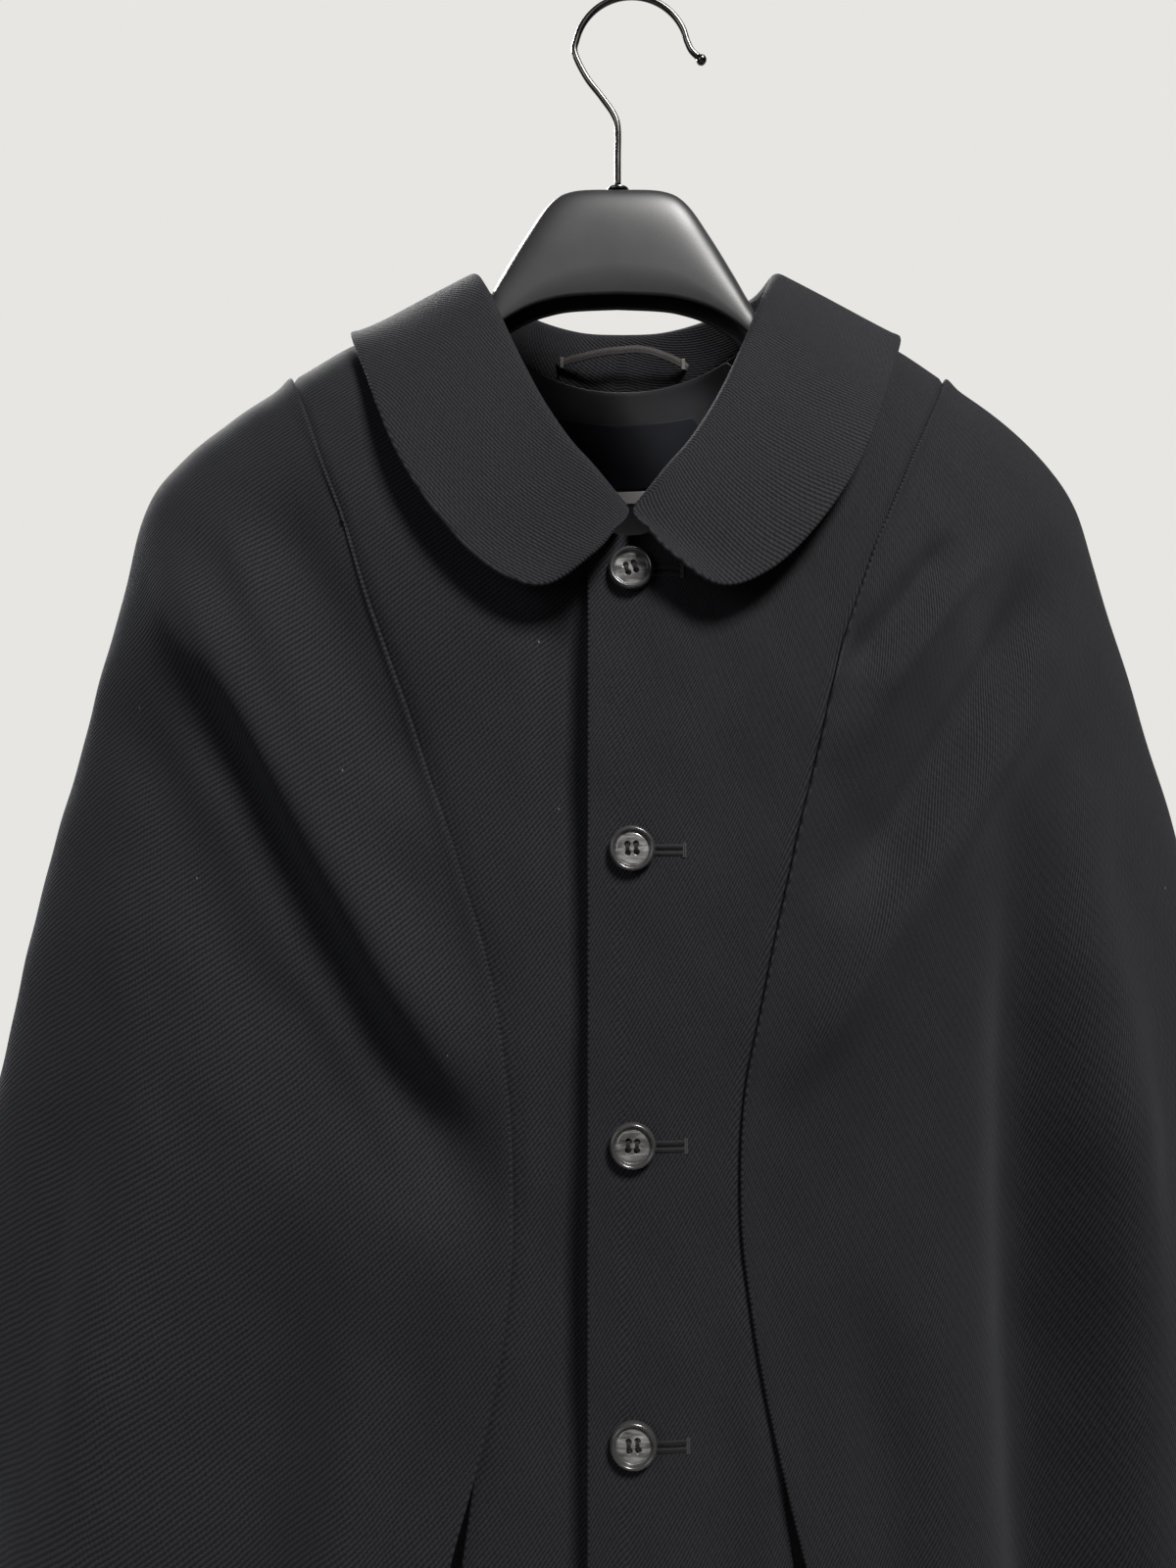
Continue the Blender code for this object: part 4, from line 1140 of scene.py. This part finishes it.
def clear_of_coat(point, clearance):
    """Points moved out until they stand clear of the coat: its nearest sample gives the depth.

    The push is the soft ramp log(1 + exp(x)) of what is missing, so that no kink shows where it
    starts. Points go through in lots, which keeps the table of distances small.
    """
    turn, row = np.meshgrid(np.radians(np.arange(-180.0, 180.0, 1.5)), np.linspace(0.0, 6.0, 90))
    face = form(turn, row).reshape(-1, 3)
    out = across(bare_form, turn, row).reshape(-1, 3)
    face = face + lap_lift(np.abs(face[:, :1] - BUTTON_X), LAP_LIFT) * out
    moved = []
    wanted = np.array_split(clearance.ravel(), POINT_LOTS)
    for part, clear in zip(np.array_split(point.reshape(-1, 3), POINT_LOTS), wanted):
        far = (part**2).sum(1)[:, None] - 2 * part @ face.T + (face**2).sum(1)[None]
        near = np.argmin(far, axis=1)
        depth = ((part - face[near]) * out[near]).sum(1)
        push = CLEAR_SOFTLY * np.log1p(np.exp(np.clip((clear - depth) / CLEAR_SOFTLY, -40, 40)))
        moved.append(part + push[:, None] * out[near])
    return np.concatenate(moved).reshape(point.shape)


def eased(grid, times):
    """A grid whose inner points are averaged with their neighbours a few times."""
    for _ in range(times):
        mean = (grid[:-2, 1:-1] + grid[2:, 1:-1] + grid[1:-1, :-2] + grid[1:-1, 2:]) / 4
        grid = grid.copy()
        grid[1:-1, 1:-1] = (grid[1:-1, 1:-1] + mean) / 2
    return grid


def collar_face():
    """The collar's shown face: up the stand, over the roll and down the fall, section by section."""
    half = along(COLLAR, (len(COLLAR) - 1.0) * np.linspace(0.0, 1.0, COLLAR_SECTIONS + 1) ** SECTION_CROWD)
    mirror = half[::-1][1:] * (1, -1, 1, 1, -1, 1, 1)
    mirror[:, 0] = 360.0 - mirror[:, 0]
    both = np.concatenate((half, mirror))
    turn = np.radians(both[:, 0])
    seat = np.zeros_like(turn)
    roll = both[:, 1:4] + (NECK_X, 0, 0)
    edge = both[:, 4:7] + (NECK_X, 0, 0)
    neck = form(turn, seat)
    raised = COLLAR_SEAT + lap_lift(np.abs(neck[:, :1] - BUTTON_X), LAP_LIFT)
    neck = neck + raised * across(form, turn, seat)
    tangent = unit(np.gradient(roll, axis=0))
    up = 2 * roll - neck - edge
    up = unit(up - (up * tangent).sum(1, keepdims=True) * tangent)
    away = np.cross(tangent, up)
    away = away * np.sign((away * (edge - neck)).sum(1, keepdims=True))
    radius = np.minimum(COLLAR_ROLL, ROLL_OF_STAND * np.linalg.norm(roll - neck, axis=1))[:, None]
    from_end = np.minimum(np.arange(len(roll)), np.arange(len(roll))[::-1])[:, None] / COLLAR_SECTIONS
    radius = radius * (ROLL_AT_END + (1.0 - ROLL_AT_END) * smoothstep(from_end / END_FADE))
    centre = roll - radius * up
    foot = centre - radius * away
    stand = neck[:, None] + STAND[None, :-1, None] * (foot - neck)[:, None]
    turned = (np.sin(ROLL_ANGLES)[None, :, None] * up[:, None]
              - np.cos(ROLL_ANGLES)[None, :, None] * away[:, None])
    rolled = centre[:, None] + radius[:, None] * turned
    start = rolled[:, -1:]
    t = FALL[None, :, None]
    fall = start + t * (edge[:, None] - start) + FALL_CROWN * np.sin(math.pi * t) * up[:, None]
    from_front = np.minimum(both[:, :1], 360.0 - both[:, :1])
    flare = COLLAR_FLARE * (1.0 - SIDE_FLAT * smoothstep((from_front - FLARE_TURN) / FLARE_FADE))
    fall = clear_of_coat(fall, COLLAR_CLEAR + flare * FALL**2)
    face = np.concatenate((stand, rolled, fall), axis=1)
    return eased(face, COLLAR_EASE), away, roll, np.minimum(COLLAR_CLOTH, 0.8 * radius)


def laid_flat(roll, away):
    """The roll line and the ways it falls in the flat cut.

    The headings of the fall, counted from the centre back, shrink by one share, as those of a cone
    do when it is unrolled. The roll line keeps its length and runs square to them.
    """
    heading = np.unwrap(np.arctan2(away[:, 1], away[:, 0]))
    back = len(heading) // 2
    heading = heading[back] + COLLAR_UNROLLED * (heading - heading[back])
    fall = np.stack((np.cos(heading), np.sin(heading)), axis=-1)
    line = np.stack((np.sin(heading), -np.cos(heading)), axis=-1)
    run = running_length(roll, 0)
    step = np.diff(run, prepend=run[:1])[:, None]
    side = np.sign(((roll[back + 1] - roll[back])[:2] * line[back]).sum())
    place = np.cumsum(side * step * line, axis=0)
    return place - place[back], fall


def collar(name):
    """The collar, thickened on its hidden side, with a flat plan of it as cloth coordinates."""
    face, away, roll, thick = collar_face()
    out = grid_normals(face)
    if out[len(face) // 2, -1, 1] < 0:
        out = -out
    run = running_length(face, 1)
    crown = len(STAND) - 1 + len(ROLL_ANGLES) // 2
    place, fall = laid_flat(roll, away)
    plan = place[:, None] + (run - run[:, crown:crown + 1])[..., None] * fall[:, None]
    uv = twill_uv(plan[..., 0], plan[..., 1], COLLAR_SLANT)
    piece = cloth_wall(name + "_cloth", face, face - thick[:, None] * out, uv, WOOL)
    return dress(piece, name), face


COLLAR_PIECE, COLLAR_FACE = collar("collar")

# %% [markdown]
# ## Hanger, hook and ferrule
#
# The hanger is a moulded channel, open below, arched at the neck and drooping to rounded tips. Its
# hook is bent wire with a ball end that stands in a small ferrule.

# %% Hanger
# x, top_z, bottom_z, half_depth
HANGER = np.array((
    (0.000, -0.0965, -0.1500, 0.0115),
    (0.022, -0.0970, -0.1510, 0.0115),
    (0.034, -0.1030, -0.1530, 0.0116),
    (0.046, -0.1195, -0.1570, 0.0118),
    (0.058, -0.1390, -0.1640, 0.0120),
    (0.066, -0.1530, -0.1710, 0.0122),
    (0.074, -0.1640, -0.1785, 0.0125),
    (0.105, -0.1695, -0.1960, 0.0125),
    (0.136, -0.1802, -0.2110, 0.0116),
    (0.165, -0.1990, -0.2270, 0.0112),
    (0.194, -0.2200, -0.2450, 0.0135),
    (0.211, -0.2375, -0.2560, 0.0140),
    (0.2175, -0.2460, -0.2590, 0.0120),
))
HANGER_WALL = 0.0026
HANGER_TOP = HANGER[0, 1]
HANGER_SECTIONS = 97
ARCH_POINTS = 41
NECK_SQUARED = 1.8
NECK_REACH = 0.050


def hanger_sections(x, top, bottom, half_depth, slim, drop):
    """Arches through sections: squarer at the neck, round towards the tips."""
    angle = np.radians(np.linspace(0.0, 180.0, ARCH_POINTS))
    power = 2.0 / (2.0 + NECK_SQUARED * np.exp(-(x / NECK_REACH) ** 2))[:, None]
    flat = np.sign(np.cos(angle)) * np.abs(np.cos(angle)) ** power
    high = np.abs(np.sin(angle)) ** power
    y = -half_depth[:, None] * flat * slim
    z = bottom[:, None] + (top - bottom - drop)[:, None] * high
    return np.stack((np.broadcast_to(x[:, None], y.shape), y, z), axis=-1)


def hanger_body(name):
    """The hanger's channel through fine sections, with a rounded lower lip."""
    half = along(HANGER, np.linspace(0.0, len(HANGER) - 1.0, HANGER_SECTIONS))
    section = np.concatenate((half[:0:-1] * (-1, 1, 1, 1), half)).T
    slim = 1.0 - HANGER_WALL / section[3][:, None]
    outer = hanger_sections(*section, 1.0, 0.0)
    inner = hanger_sections(*section, slim, HANGER_WALL)
    uv = np.stack((running_length(outer, 0), running_length(outer, 1)), -1)
    return dress(cloth_wall(name + "_moulded", outer, inner, uv, PLASTIC), name)


hanger_body("hanger_body")

# %% Hook and ferrule
WIRE = 0.0032
HOOK_RADIUS = 0.0270
HOOK_CENTRE_X = 0.0070
STEM_TOP = -0.0640
STEM_CLEAR = 0.0006
# Above the stem the wire leans out to the crook: shares of the way up, how far out, how far up.
LEAN = np.array((0.20, 0.45, 0.72))
LEAN_OUT = 0.0195
LEAN_UP = 0.95
CROOK_ANGLES = np.radians(np.arange(180.0, 4.0, -14.0))
TIP_X = np.array((0.0022, 0.0058))
TIP_DROP = np.array((0.0045, 0.0080))
HOOK_POINTS = 150
HOOK_SIDES = 28
BALL_RADIUS = 0.0026
BALL_SUNK = 0.0008
FERRULE_RADIUS = 0.0056
FERRULE_HEIGHT = 0.0030
FERRULE_CLEAR = 0.0003
FERRULE_SIDES = 40
# share of the radius, share of the height
FERRULE = np.array((
    (0.96, 0.00), (1.00, 0.06), (1.00, 0.50), (0.97, 0.62), (0.86, 0.72), (0.66, 0.86), (0.60, 0.95),
    (0.55, 1.00),
))
DEPTHWAYS = (0.0, 1.0, 0.0)


def hook_line():
    """The middle of the wire: up the stem, out to one side and round the crook to the tip."""
    r = HOOK_RADIUS + WIRE / 2
    centre_z = -math.sqrt(HOOK_RADIUS**2 - HOOK_CENTRE_X**2)
    foot = HANGER_TOP + FERRULE_HEIGHT + STEM_CLEAR
    stem_x = np.concatenate(((0.0, 0.0, 0.0), -LEAN_OUT * smoothstep(LEAN)))
    stem_z = np.concatenate(((foot, (foot + STEM_TOP) / 2, STEM_TOP),
                             STEM_TOP + LEAN * (centre_z - STEM_TOP) * LEAN_UP))
    x = np.concatenate((stem_x, HOOK_CENTRE_X + r * np.cos(CROOK_ANGLES)))
    z = np.concatenate((stem_z, centre_z + r * np.sin(CROOK_ANGLES)))
    x = np.concatenate((x, x[-1] + TIP_X))
    z = np.concatenate((z, z[-1] - TIP_DROP))
    knots = np.stack((x, np.zeros_like(x), z), axis=-1)
    return along(knots, np.linspace(0.0, len(knots) - 1.0, HOOK_POINTS))


def hook(name):
    """The wire, with a ball at its tip where the radius swells as a sphere's does."""
    line = hook_line()
    ahead = unit(line[-1] - line[-2])
    ball = np.linspace(0.0, 2 * BALL_RADIUS, 15)[1:]
    line = np.concatenate((line, line[-1] + (ball[:, None] - BALL_SUNK) * ahead))
    sphere = np.sqrt(np.maximum(BALL_RADIUS**2 - (ball - BALL_RADIUS) ** 2, 1e-10))
    swollen = np.where(ball < BALL_RADIUS, np.maximum(sphere, WIRE / 2), sphere)
    radius = np.concatenate((np.full(HOOK_POINTS, WIRE / 2), swollen))
    piece = rods(name + "_wire", [line], HOOK_SIDES, radius, radius, GUNMETAL, DEPTHWAYS)
    return dress(piece, name)


def ferrule(name):
    """A turned ring with a softened shoulder, from its foot to its top."""
    base = HANGER_TOP + FERRULE_CLEAR
    height = FERRULE_HEIGHT - 2 * FERRULE_CLEAR
    middle = np.zeros(len(FERRULE))
    line = np.stack((middle, middle, base + height * FERRULE[:, 1]), axis=-1)
    radius = FERRULE_RADIUS * FERRULE[:, 0]
    piece = rods(name + "_turned", [line], FERRULE_SIDES, radius, radius, GUNMETAL, DEPTHWAYS)
    return dress(piece, name)


hook("hanger_hook")
ferrule("hook_ferrule")

# %% [markdown]
# ## Inside the neck
#
# Below the collar's stand the back is faced with dark satin. A woven label and a small white one lie
# on it, both left bare. Each is a thin wall on the inner face of the back, laid out from its own
# middle so that its ribs stay even. The hanging loop is a tape bowed off the stand, held at each end
# by a short bar of thread.

# %% Lining and labels
# name, first place, last place, half width as a share, depth, thickness, rows, columns, finish, slot
INSIDE_BACK = (
    ("neck_lining", 0.030, 2.200, 0.5000, 0.0003, 0.0010, 60, 80, SATIN, "satin_lining"),
    ("neck_label", 0.750, 1.822, 0.2125, 0.0016, 0.0010, 30, 60, LABEL, "label_cloth"),
    ("care_label", 1.867, 1.985, 0.0750, 0.0016, 0.0010, 20, 20, WHITE, "white_label"),
)
SATIN_SAG = 0.0005
SATIN_WAVES = 3


def even_places(first, last, count):
    """Places down the back that are evenly far apart along its middle."""
    fine = np.linspace(first, last, 200)
    far = running_length(form(*back_places(fine, np.zeros(1))), 0)[:, 0]
    return np.interp(np.linspace(0.0, far[-1], count), far, fine)


def inside_back(name, first, last, half, depth, thick, rows, columns, finish, slot):
    """A thin wall laid on the back's inner face between two places and two shares of its width.

    The satin sags off it in low waves, as squared sines.
    """
    turn, row = back_places(even_places(first, last, rows), np.linspace(-half, half, columns))
    out = across(form, turn, row)
    near = form(turn, row) - (CLOTH + depth) * out
    sag = SATIN_SAG * np.sin(np.linspace(0.0, SATIN_WAVES * math.pi, rows))[:, None, None] ** 2
    shown = near - (thick + sag * (finish is SATIN)) * out
    uv = np.stack((running_length(near, 1), running_length(near, 0)), -1)
    print(name, np.round(uv[-1, -1] * 1000).tolist(), "mm")
    return dress(cloth_wall(name + "_cloth", near, shown, uv, finish), name)


NECK_PIECES = [inside_back(*line) for line in INSIDE_BACK]

# %% Hanging loop
LOOP_HALF_SPAN = 0.036
LOOP_TALL = 0.0022
LOOP_THICK = 0.00055
LOOP_POINTS = 90
LOOP_DROP = 0.0165
LOOP_RISE = 0.009
LOOP_SWAY = 0.0008
LOOP_OUT = 0.0110
LOOP_SEAT = 0.00015
# The stand curves forward to the sides: distance from the middle, and how far forward.
STAND_X = (0.0, 0.022, 0.042)
STAND_FORWARD = (0.0, 0.004, 0.0135)
TACK_PLACE = 0.93
TACK_HALF = 0.0030
TACK_OFF = (0.0, -0.0010, 0.0)
TACK_PITCH = 0.0006
TACK_WIDE = 0.00040
TACK_TALL = 0.00035


def loop_line(s):
    """The loop's middle at shares of its half span: a bow up and off the stand, as 1 - s squared."""
    middle = len(COLLAR_FACE) // 2
    low = COLLAR_FACE[middle, 0]
    high = COLLAR_FACE[middle, len(STAND) - 1]
    bow = 1.0 - s**2
    seat_y = low[1] - np.interp(np.abs(s) * LOOP_HALF_SPAN, STAND_X, STAND_FORWARD)
    y = seat_y + LOOP_SEAT - LOOP_OUT * bow**0.8
    z = high[2] - LOOP_DROP + LOOP_RISE * bow + LOOP_SWAY * np.sin(4.0 * s)
    return np.stack((NECK_X + LOOP_HALF_SPAN * s, y, z), axis=-1)


def hanging_loop(name):
    """The tape, with a thread bar near each end."""
    line = loop_line(np.linspace(-1.0, 1.0, LOOP_POINTS))
    dress(rods(name + "_tape", [line], 24, LOOP_THICK, LOOP_TALL, TAPE, (0.0, 0.0, 1.0)), name)
    bar = np.linspace(-TACK_HALF, TACK_HALF, 12)
    ends = [loop_line(np.array([end]))[0] + TACK_OFF for end in (-TACK_PLACE, TACK_PLACE)]
    lines = [end + np.stack((0 * bar + shift, 0 * bar, bar), axis=-1)
             for end in ends for shift in (-TACK_PITCH, 0.0, TACK_PITCH)]
    rods(name + "_tacks", lines, 8, TACK_WIDE, TACK_TALL, TACK, DEPTHWAYS)


hanging_loop("hanging_loop")

# %% [markdown]
# ## Buttons and their thread
#
# A horn button is turned on a lathe: a bead at the rim, a groove, and a slightly domed disc with four
# drilled holes. Each is a round grid through a profile, with the holes pressed into it as wells. The
# thread runs in two bars through the pairs of holes, and every button sits at its own small angle.

# %% Buttons
BUTTON_RADIUS = 0.0100
BUTTON_THICK = 0.0040
HOLE_RADIUS = 0.0012
HOLE_PITCH = 0.0037
HOLE_DEEP = 0.0021
# A well's wall starts at a share of the hole's radius and takes another share.
WELL_FROM = 0.82
WELL_WALL = 0.36
BUTTON_SIDES = 128
BUTTON_OFF = 0.0006
FACE_HEIGHT = 0.66
THREAD_RADIUS = 0.00030
STRAND_PITCH = 0.00045
STRAND_ARCH = 0.00055
STRAND_SINK = 0.0006
# height of the button, its spin in degrees
BUTTONS = ((-0.2995, 18.0), (-0.4230, 4.0), (-0.5495, -3.0), (-0.6725, 6.0), (-0.7980, 0.0))
# share of the radius, share of the thickness
TURNED = np.array((
    (0.00, 0.00), (0.60, 0.00), (0.86, 0.02), (0.97, 0.14), (1.00, 0.34), (0.995, 0.58), (0.965, 0.82),
    (0.915, 0.97), (0.87, 1.00), (0.82, 0.93), (0.775, 0.74), (0.74, 0.58), (0.71, 0.55), (0.67, 0.60),
    (0.60, 0.645), (0.40, FACE_HEIGHT), (0.20, FACE_HEIGHT), (0.00, FACE_HEIGHT),
))
FACE_FROM = 13.5
RIM_RINGS = 45
FACE_RINGS = 44


def seat_of(x, row):
    """A place on the left front with its directions right, up and out."""
    turn = turn_at_x(np.full(1, x), np.full(1, row))
    row = np.full(1, row)
    out = across(form, turn, row)[0]
    right = unit(np.array((1.0, 0.0, 0.0)) - out[0] * out)
    up = np.cross(out, right)
    lift = lap_lift(np.full(1, x - BUTTON_X), LAP_LIFT)[0]
    return form(turn, row)[0] + lift * out, right, up, out


def hole_places(spin):
    """The four holes, seen from the front, at the corners of a turned square."""
    angle = np.radians(45.0 + 90.0 * np.arange(4) + spin)
    return HOLE_PITCH / math.sqrt(2) * np.stack((np.cos(angle), np.sin(angle)), axis=-1)


def button(name, height, spin):
    """The turned profile swept round, less a smooth well at each hole on the front."""
    centre, right, up, out = seat_of(BUTTON_X, row_at_height(height))
    centre = centre + BUTTON_OFF * out
    place = np.concatenate((np.linspace(0.0, FACE_FROM, RIM_RINGS + 1)[:-1],
                            np.linspace(FACE_FROM, len(TURNED) - 1.0, FACE_RINGS)))
    share, deep = along(TURNED, place).T
    angle = np.linspace(0.0, 2 * math.pi, BUTTON_SIDES + 1)
    x = BUTTON_RADIUS * share[:, None] * np.cos(angle)
    y = BUTTON_RADIUS * share[:, None] * np.sin(angle)
    h = np.broadcast_to(BUTTON_THICK * deep[:, None], x.shape).copy()
    for hole in hole_places(spin):
        far = np.hypot(x - hole[0], y - hole[1])
        well = 1.0 - smoothstep((far - WELL_FROM * HOLE_RADIUS) / (WELL_WALL * HOLE_RADIUS))
        h -= HOLE_DEEP * well * (place > FACE_FROM)[:, None]
    points = centre + x[..., None] * right + y[..., None] * up + h[..., None] * out
    uv = np.stack((x, y), axis=-1)
    piece = new_piece(name + "_horn", points.reshape(-1, 3), grid_quads(*x.shape), uv.reshape(-1, 2), HORN)
    return dress(merged(piece), name)


def button_thread(name, height, spin):
    """Two bars of three strands, each an arch from an upper hole down to a lower one."""
    centre, right, up, out = seat_of(BUTTON_X, row_at_height(height))
    t = np.linspace(0.0, 1.0, 15)
    rise = (BUTTON_OFF + BUTTON_THICK * FACE_HEIGHT + STRAND_ARCH * np.sin(math.pi * t) ** 0.5
            - STRAND_SINK * (2 * t - 1) ** 4)
    holes = hole_places(spin)
    lines = []
    for upper, lower in ((holes[0], holes[3]), (holes[1], holes[2])):
        for shift in (-STRAND_PITCH, 0.0, STRAND_PITCH):
            flat = upper + t[:, None] * (lower - upper) + (shift, 0.0)
            lines.append(centre + flat[:, :1] * right + flat[:, 1:] * up + rise[:, None] * out)
    rods(name + "_thread", lines, 8, THREAD_RADIUS, THREAD_RADIUS, THREAD, out)


for number, (height, spin) in enumerate(BUTTONS, 1):
    button(f"button_{number}", height, spin)
    button_thread(f"button_{number}", height, spin)
print("buttons:", len(BUTTONS))

# %% [markdown]
# ## Buttonholes
#
# A worked buttonhole is a cut with a row of close stitches along each lip and a bar across its far
# end. The lips here are low ridges with a ripple at the stitches' pitch, and the bar is a short stack
# of thread, painted lighter than the lips: a painted highlight. A near-black rod between the lips is
# painted shade for the slit. The buttonholes start under the button and show on its outer side.

# %% Buttonholes
HOLE_START = 0.0020
HOLE_END = 0.0225
LIP_WIDE = 0.00115
LIP_TALL = 0.00050
LIP_AWAY = 0.00150
STITCH_PITCH = 0.00085
STITCH_SINK = 0.00005
SLIT_SHADE_WIDE = 0.00042
SLIT_SHADE_TALL = 0.00012
BAR_HALF = 0.0032
BAR_WIDE = 0.00050
BAR_TALL = 0.00062
BAR_SHIFT = 0.0004
BAR_PITCH = 0.0006


def on_front(x, z):
    """Points on the left front's face at a distance from the middle and a height.

    The row is found by trying one, and moving it by the height it misses, a few times.
    """
    aimed = z
    for _ in range(4):
        row = row_at_height(aimed)
        turn = turn_at_x(x, row)
        aimed = aimed + z - bare_form(turn, row)[..., 2]
    row = row_at_height(aimed)
    turn = turn_at_x(x, row)
    out = across(form, turn, row)
    lift = lap_lift(x - BUTTON_X, LAP_LIFT)
    return form(turn, row) + lift[:, None] * out, out


def stitch_wave(far, pitch):
    """A wave between 0 and 1 with its crests at the stitches."""
    return 0.5 + 0.5 * np.cos(2 * math.pi * far / pitch)


def buttonhole(name, height):
    """Two rippled lips, a near-black rod between them that is painted shade for the slit, and a bar at the
    outer end whose lighter thread is a painted highlight.
    """
    x = BUTTON_X + np.linspace(HOLE_START, HOLE_END, 150)
    ripple = stitch_wave(x - BUTTON_X, STITCH_PITCH)
    wide = LIP_WIDE * (0.90 + 0.10 * ripple)
    tall = LIP_TALL * (0.72 + 0.28 * ripple)
    middle = np.full_like(x, height)
    seat, out = on_front(x, middle)
    outward_here = out[len(out) // 2]
    lips = [on_front(x, middle + side * LIP_AWAY)[0] + STITCH_SINK * out for side in (1, -1)]
    z = height + np.linspace(-BAR_HALF, BAR_HALF, 40)
    end = np.full_like(z, BUTTON_X + HOLE_END + BAR_SHIFT)
    beat = stitch_wave(z - height, BAR_PITCH)
    bars = [on_front(end + shift, z)[0] for shift in (-BAR_SHIFT, BAR_SHIFT)]
    made = (
        rods(name + "_lips", lips, 12, wide, tall, THREAD, outward_here),
        # the near-black rod between the lips is painted shade for the slit
        rods(name + "_cut", [seat - STITCH_SINK * out], 8, SLIT_SHADE_WIDE, SLIT_SHADE_TALL, SLIT_PAINTED_SHADE, outward_here),
        # the bar's lighter thread is a painted highlight
        rods(name + "_bar", bars, 10, BAR_WIDE * (0.85 + 0.15 * beat), BAR_TALL * (0.8 + 0.2 * beat), PAINTED_LIGHT_BAR,
             outward_here),
    )


for number, (height, _) in enumerate(BUTTONS, 1):
    buttonhole(f"buttonhole_{number}", height)
print("buttonholes:", len(BUTTONS))

# %% [markdown]
# ## The cut of the cloth
#
# Laid flat, the capes come out about 110 mm narrower and the collar about 120 mm longer than the
# rectangles estimated for their cut. The small label's cut has 3 mm turned under. The tape of the
# loop is narrower than a sheet can be declared, so it isn't in the table.

# %% [markdown]
# ## Floor, light and camera
#
# The coat hangs over a plain pale floor in a pale room. A large soft light stands in front, high on
# the wearer's left, so the folds are lit on that side and the lap throws its shadow to the other. A
# weak one fills the other side, and one behind lights the back. Black wool shows its folds best when
# little light comes from the front of the room, so the room shines only from behind the coat, and
# looks pale all round to the camera alone.

# %% Stage
FLOOR_Z = -1.90
FLOOR_SIZE = 6.0
FLOOR_DARK = 0.44
FLOOR_LIGHT = 0.49
ROOM_PALE = (0.80, 0.79, 0.765)
ROOM_DARK = (0.010, 0.0104, 0.012)
# The room turns pale between these shares of a direction's way to the back.
ROOM_FROM = 0.30
ROOM_FULL = 0.70
LIGHT_SPREAD = math.radians(70.0)
WARM = (1.0, 0.99, 0.97)
COOL = (0.95, 0.97, 1.0)
# name, place, target, size, watts, tint
LIGHTS = (
    ("key_light", (1.10, -1.95, 2.20), (0.0, 0.0, -0.50), 0.9, 35.0, WARM),
    ("left_fill", (-2.00, -2.00, 0.20), (0.0, 0.0, -0.70), 1.6, 4.2, COOL),
    ("back_light", (-1.30, 2.10, 1.60), (0.0, 0.0, -0.60), 0.9, 30.0, WARM),
)


def floor_finish():
    """Pale matt paint with slow patches of tone."""
    material, shade, shader = new_finish("pale_floor", roughness=0.8)
    cloud = noise(shade, object_place(shade), 3.0, 3.0)
    connect(shade, shader, base_color=cloud.mix(colour(FLOOR_DARK), colour(FLOOR_LIGHT)))
    return material


def stage_floor():
    """A square floor below the coat."""
    side = np.array((-0.5, 0.5)) * FLOOR_SIZE
    x, y = np.meshgrid(side, side)
    points = np.stack((x, y, np.full_like(x, FLOOR_Z)), axis=-1).reshape(-1, 3)
    mesh = bpy.data.meshes.new("floor")
    mesh.from_pydata(points.tolist(), [], [(0, 1, 3, 2)])
    mesh.materials.append(floor_finish())
    item = bpy.data.objects.new("floor", mesh)
    bpy.context.collection.objects.link(item)


def soft_light(name, place, target, size, watts, tint):
    """A square area light aimed at a point."""
    lamp = bpy.data.lights.new(name, "AREA")
    lamp.size = size
    lamp.energy = watts
    lamp.spread = LIGHT_SPREAD
    lamp.color = tint
    item = bpy.data.objects.new(name, lamp)
    item.location = place
    way = Vector(target) - Vector(place)
    item.rotation_euler = way.to_track_quat("-Z", "Y").to_euler()
    bpy.context.collection.objects.link(item)


def pale_room():
    """A world whose light comes from the back, by a direction's y, and that the camera sees as pale."""
    world = bpy.data.worlds.new("pale_room")
    world.use_nodes = True
    tree = world.node_tree
    sky = Shade(tree)
    aim = sky.node("ShaderNodeTexCoord", output=0)
    to_back = sky.node("ShaderNodeSeparateXYZ", None, {0: aim}, output=1)
    share = sky.node("ShaderNodeMapRange", {"interpolation_type": "SMOOTHSTEP"},
                     {"Value": to_back, "From Min": ROOM_FROM, "From Max": ROOM_FULL})
    light = share.mix(colour(ROOM_DARK), colour(ROOM_PALE))
    seen = sky.node("ShaderNodeLightPath").mix(light, colour(ROOM_PALE))
    tree.links.new(seen.socket, tree.nodes["Background"].inputs["Color"])
    return world


stage_floor()
scene = bpy.context.scene
scene.world = pale_room()
scene.view_settings.view_transform = "Standard"
for line in LIGHTS:
    soft_light(*line)
print("stage and light ready")

# %% Camera
# The lens is the one that gives 1250 pixels of focal length over a 1600 pixel high picture.
SENSOR_MM = 36.0
FOCAL_PIXELS = 1250.0
PICTURE_HEIGHT = 1600.0
EYE = (-0.015, -0.617, -0.394)
lens = bpy.data.cameras.new("camera")
lens.sensor_fit = "VERTICAL"
lens.sensor_height = SENSOR_MM
lens.lens = SENSOR_MM * FOCAL_PIXELS / PICTURE_HEIGHT
eye = bpy.data.objects.new("camera", lens)
eye.location = EYE
eye.rotation_euler = (math.pi / 2, 0.0, 0.0)
bpy.context.collection.objects.link(eye)
scene.camera = eye
print("camera at", tuple(eye.location), "lens", lens.lens, "mm")
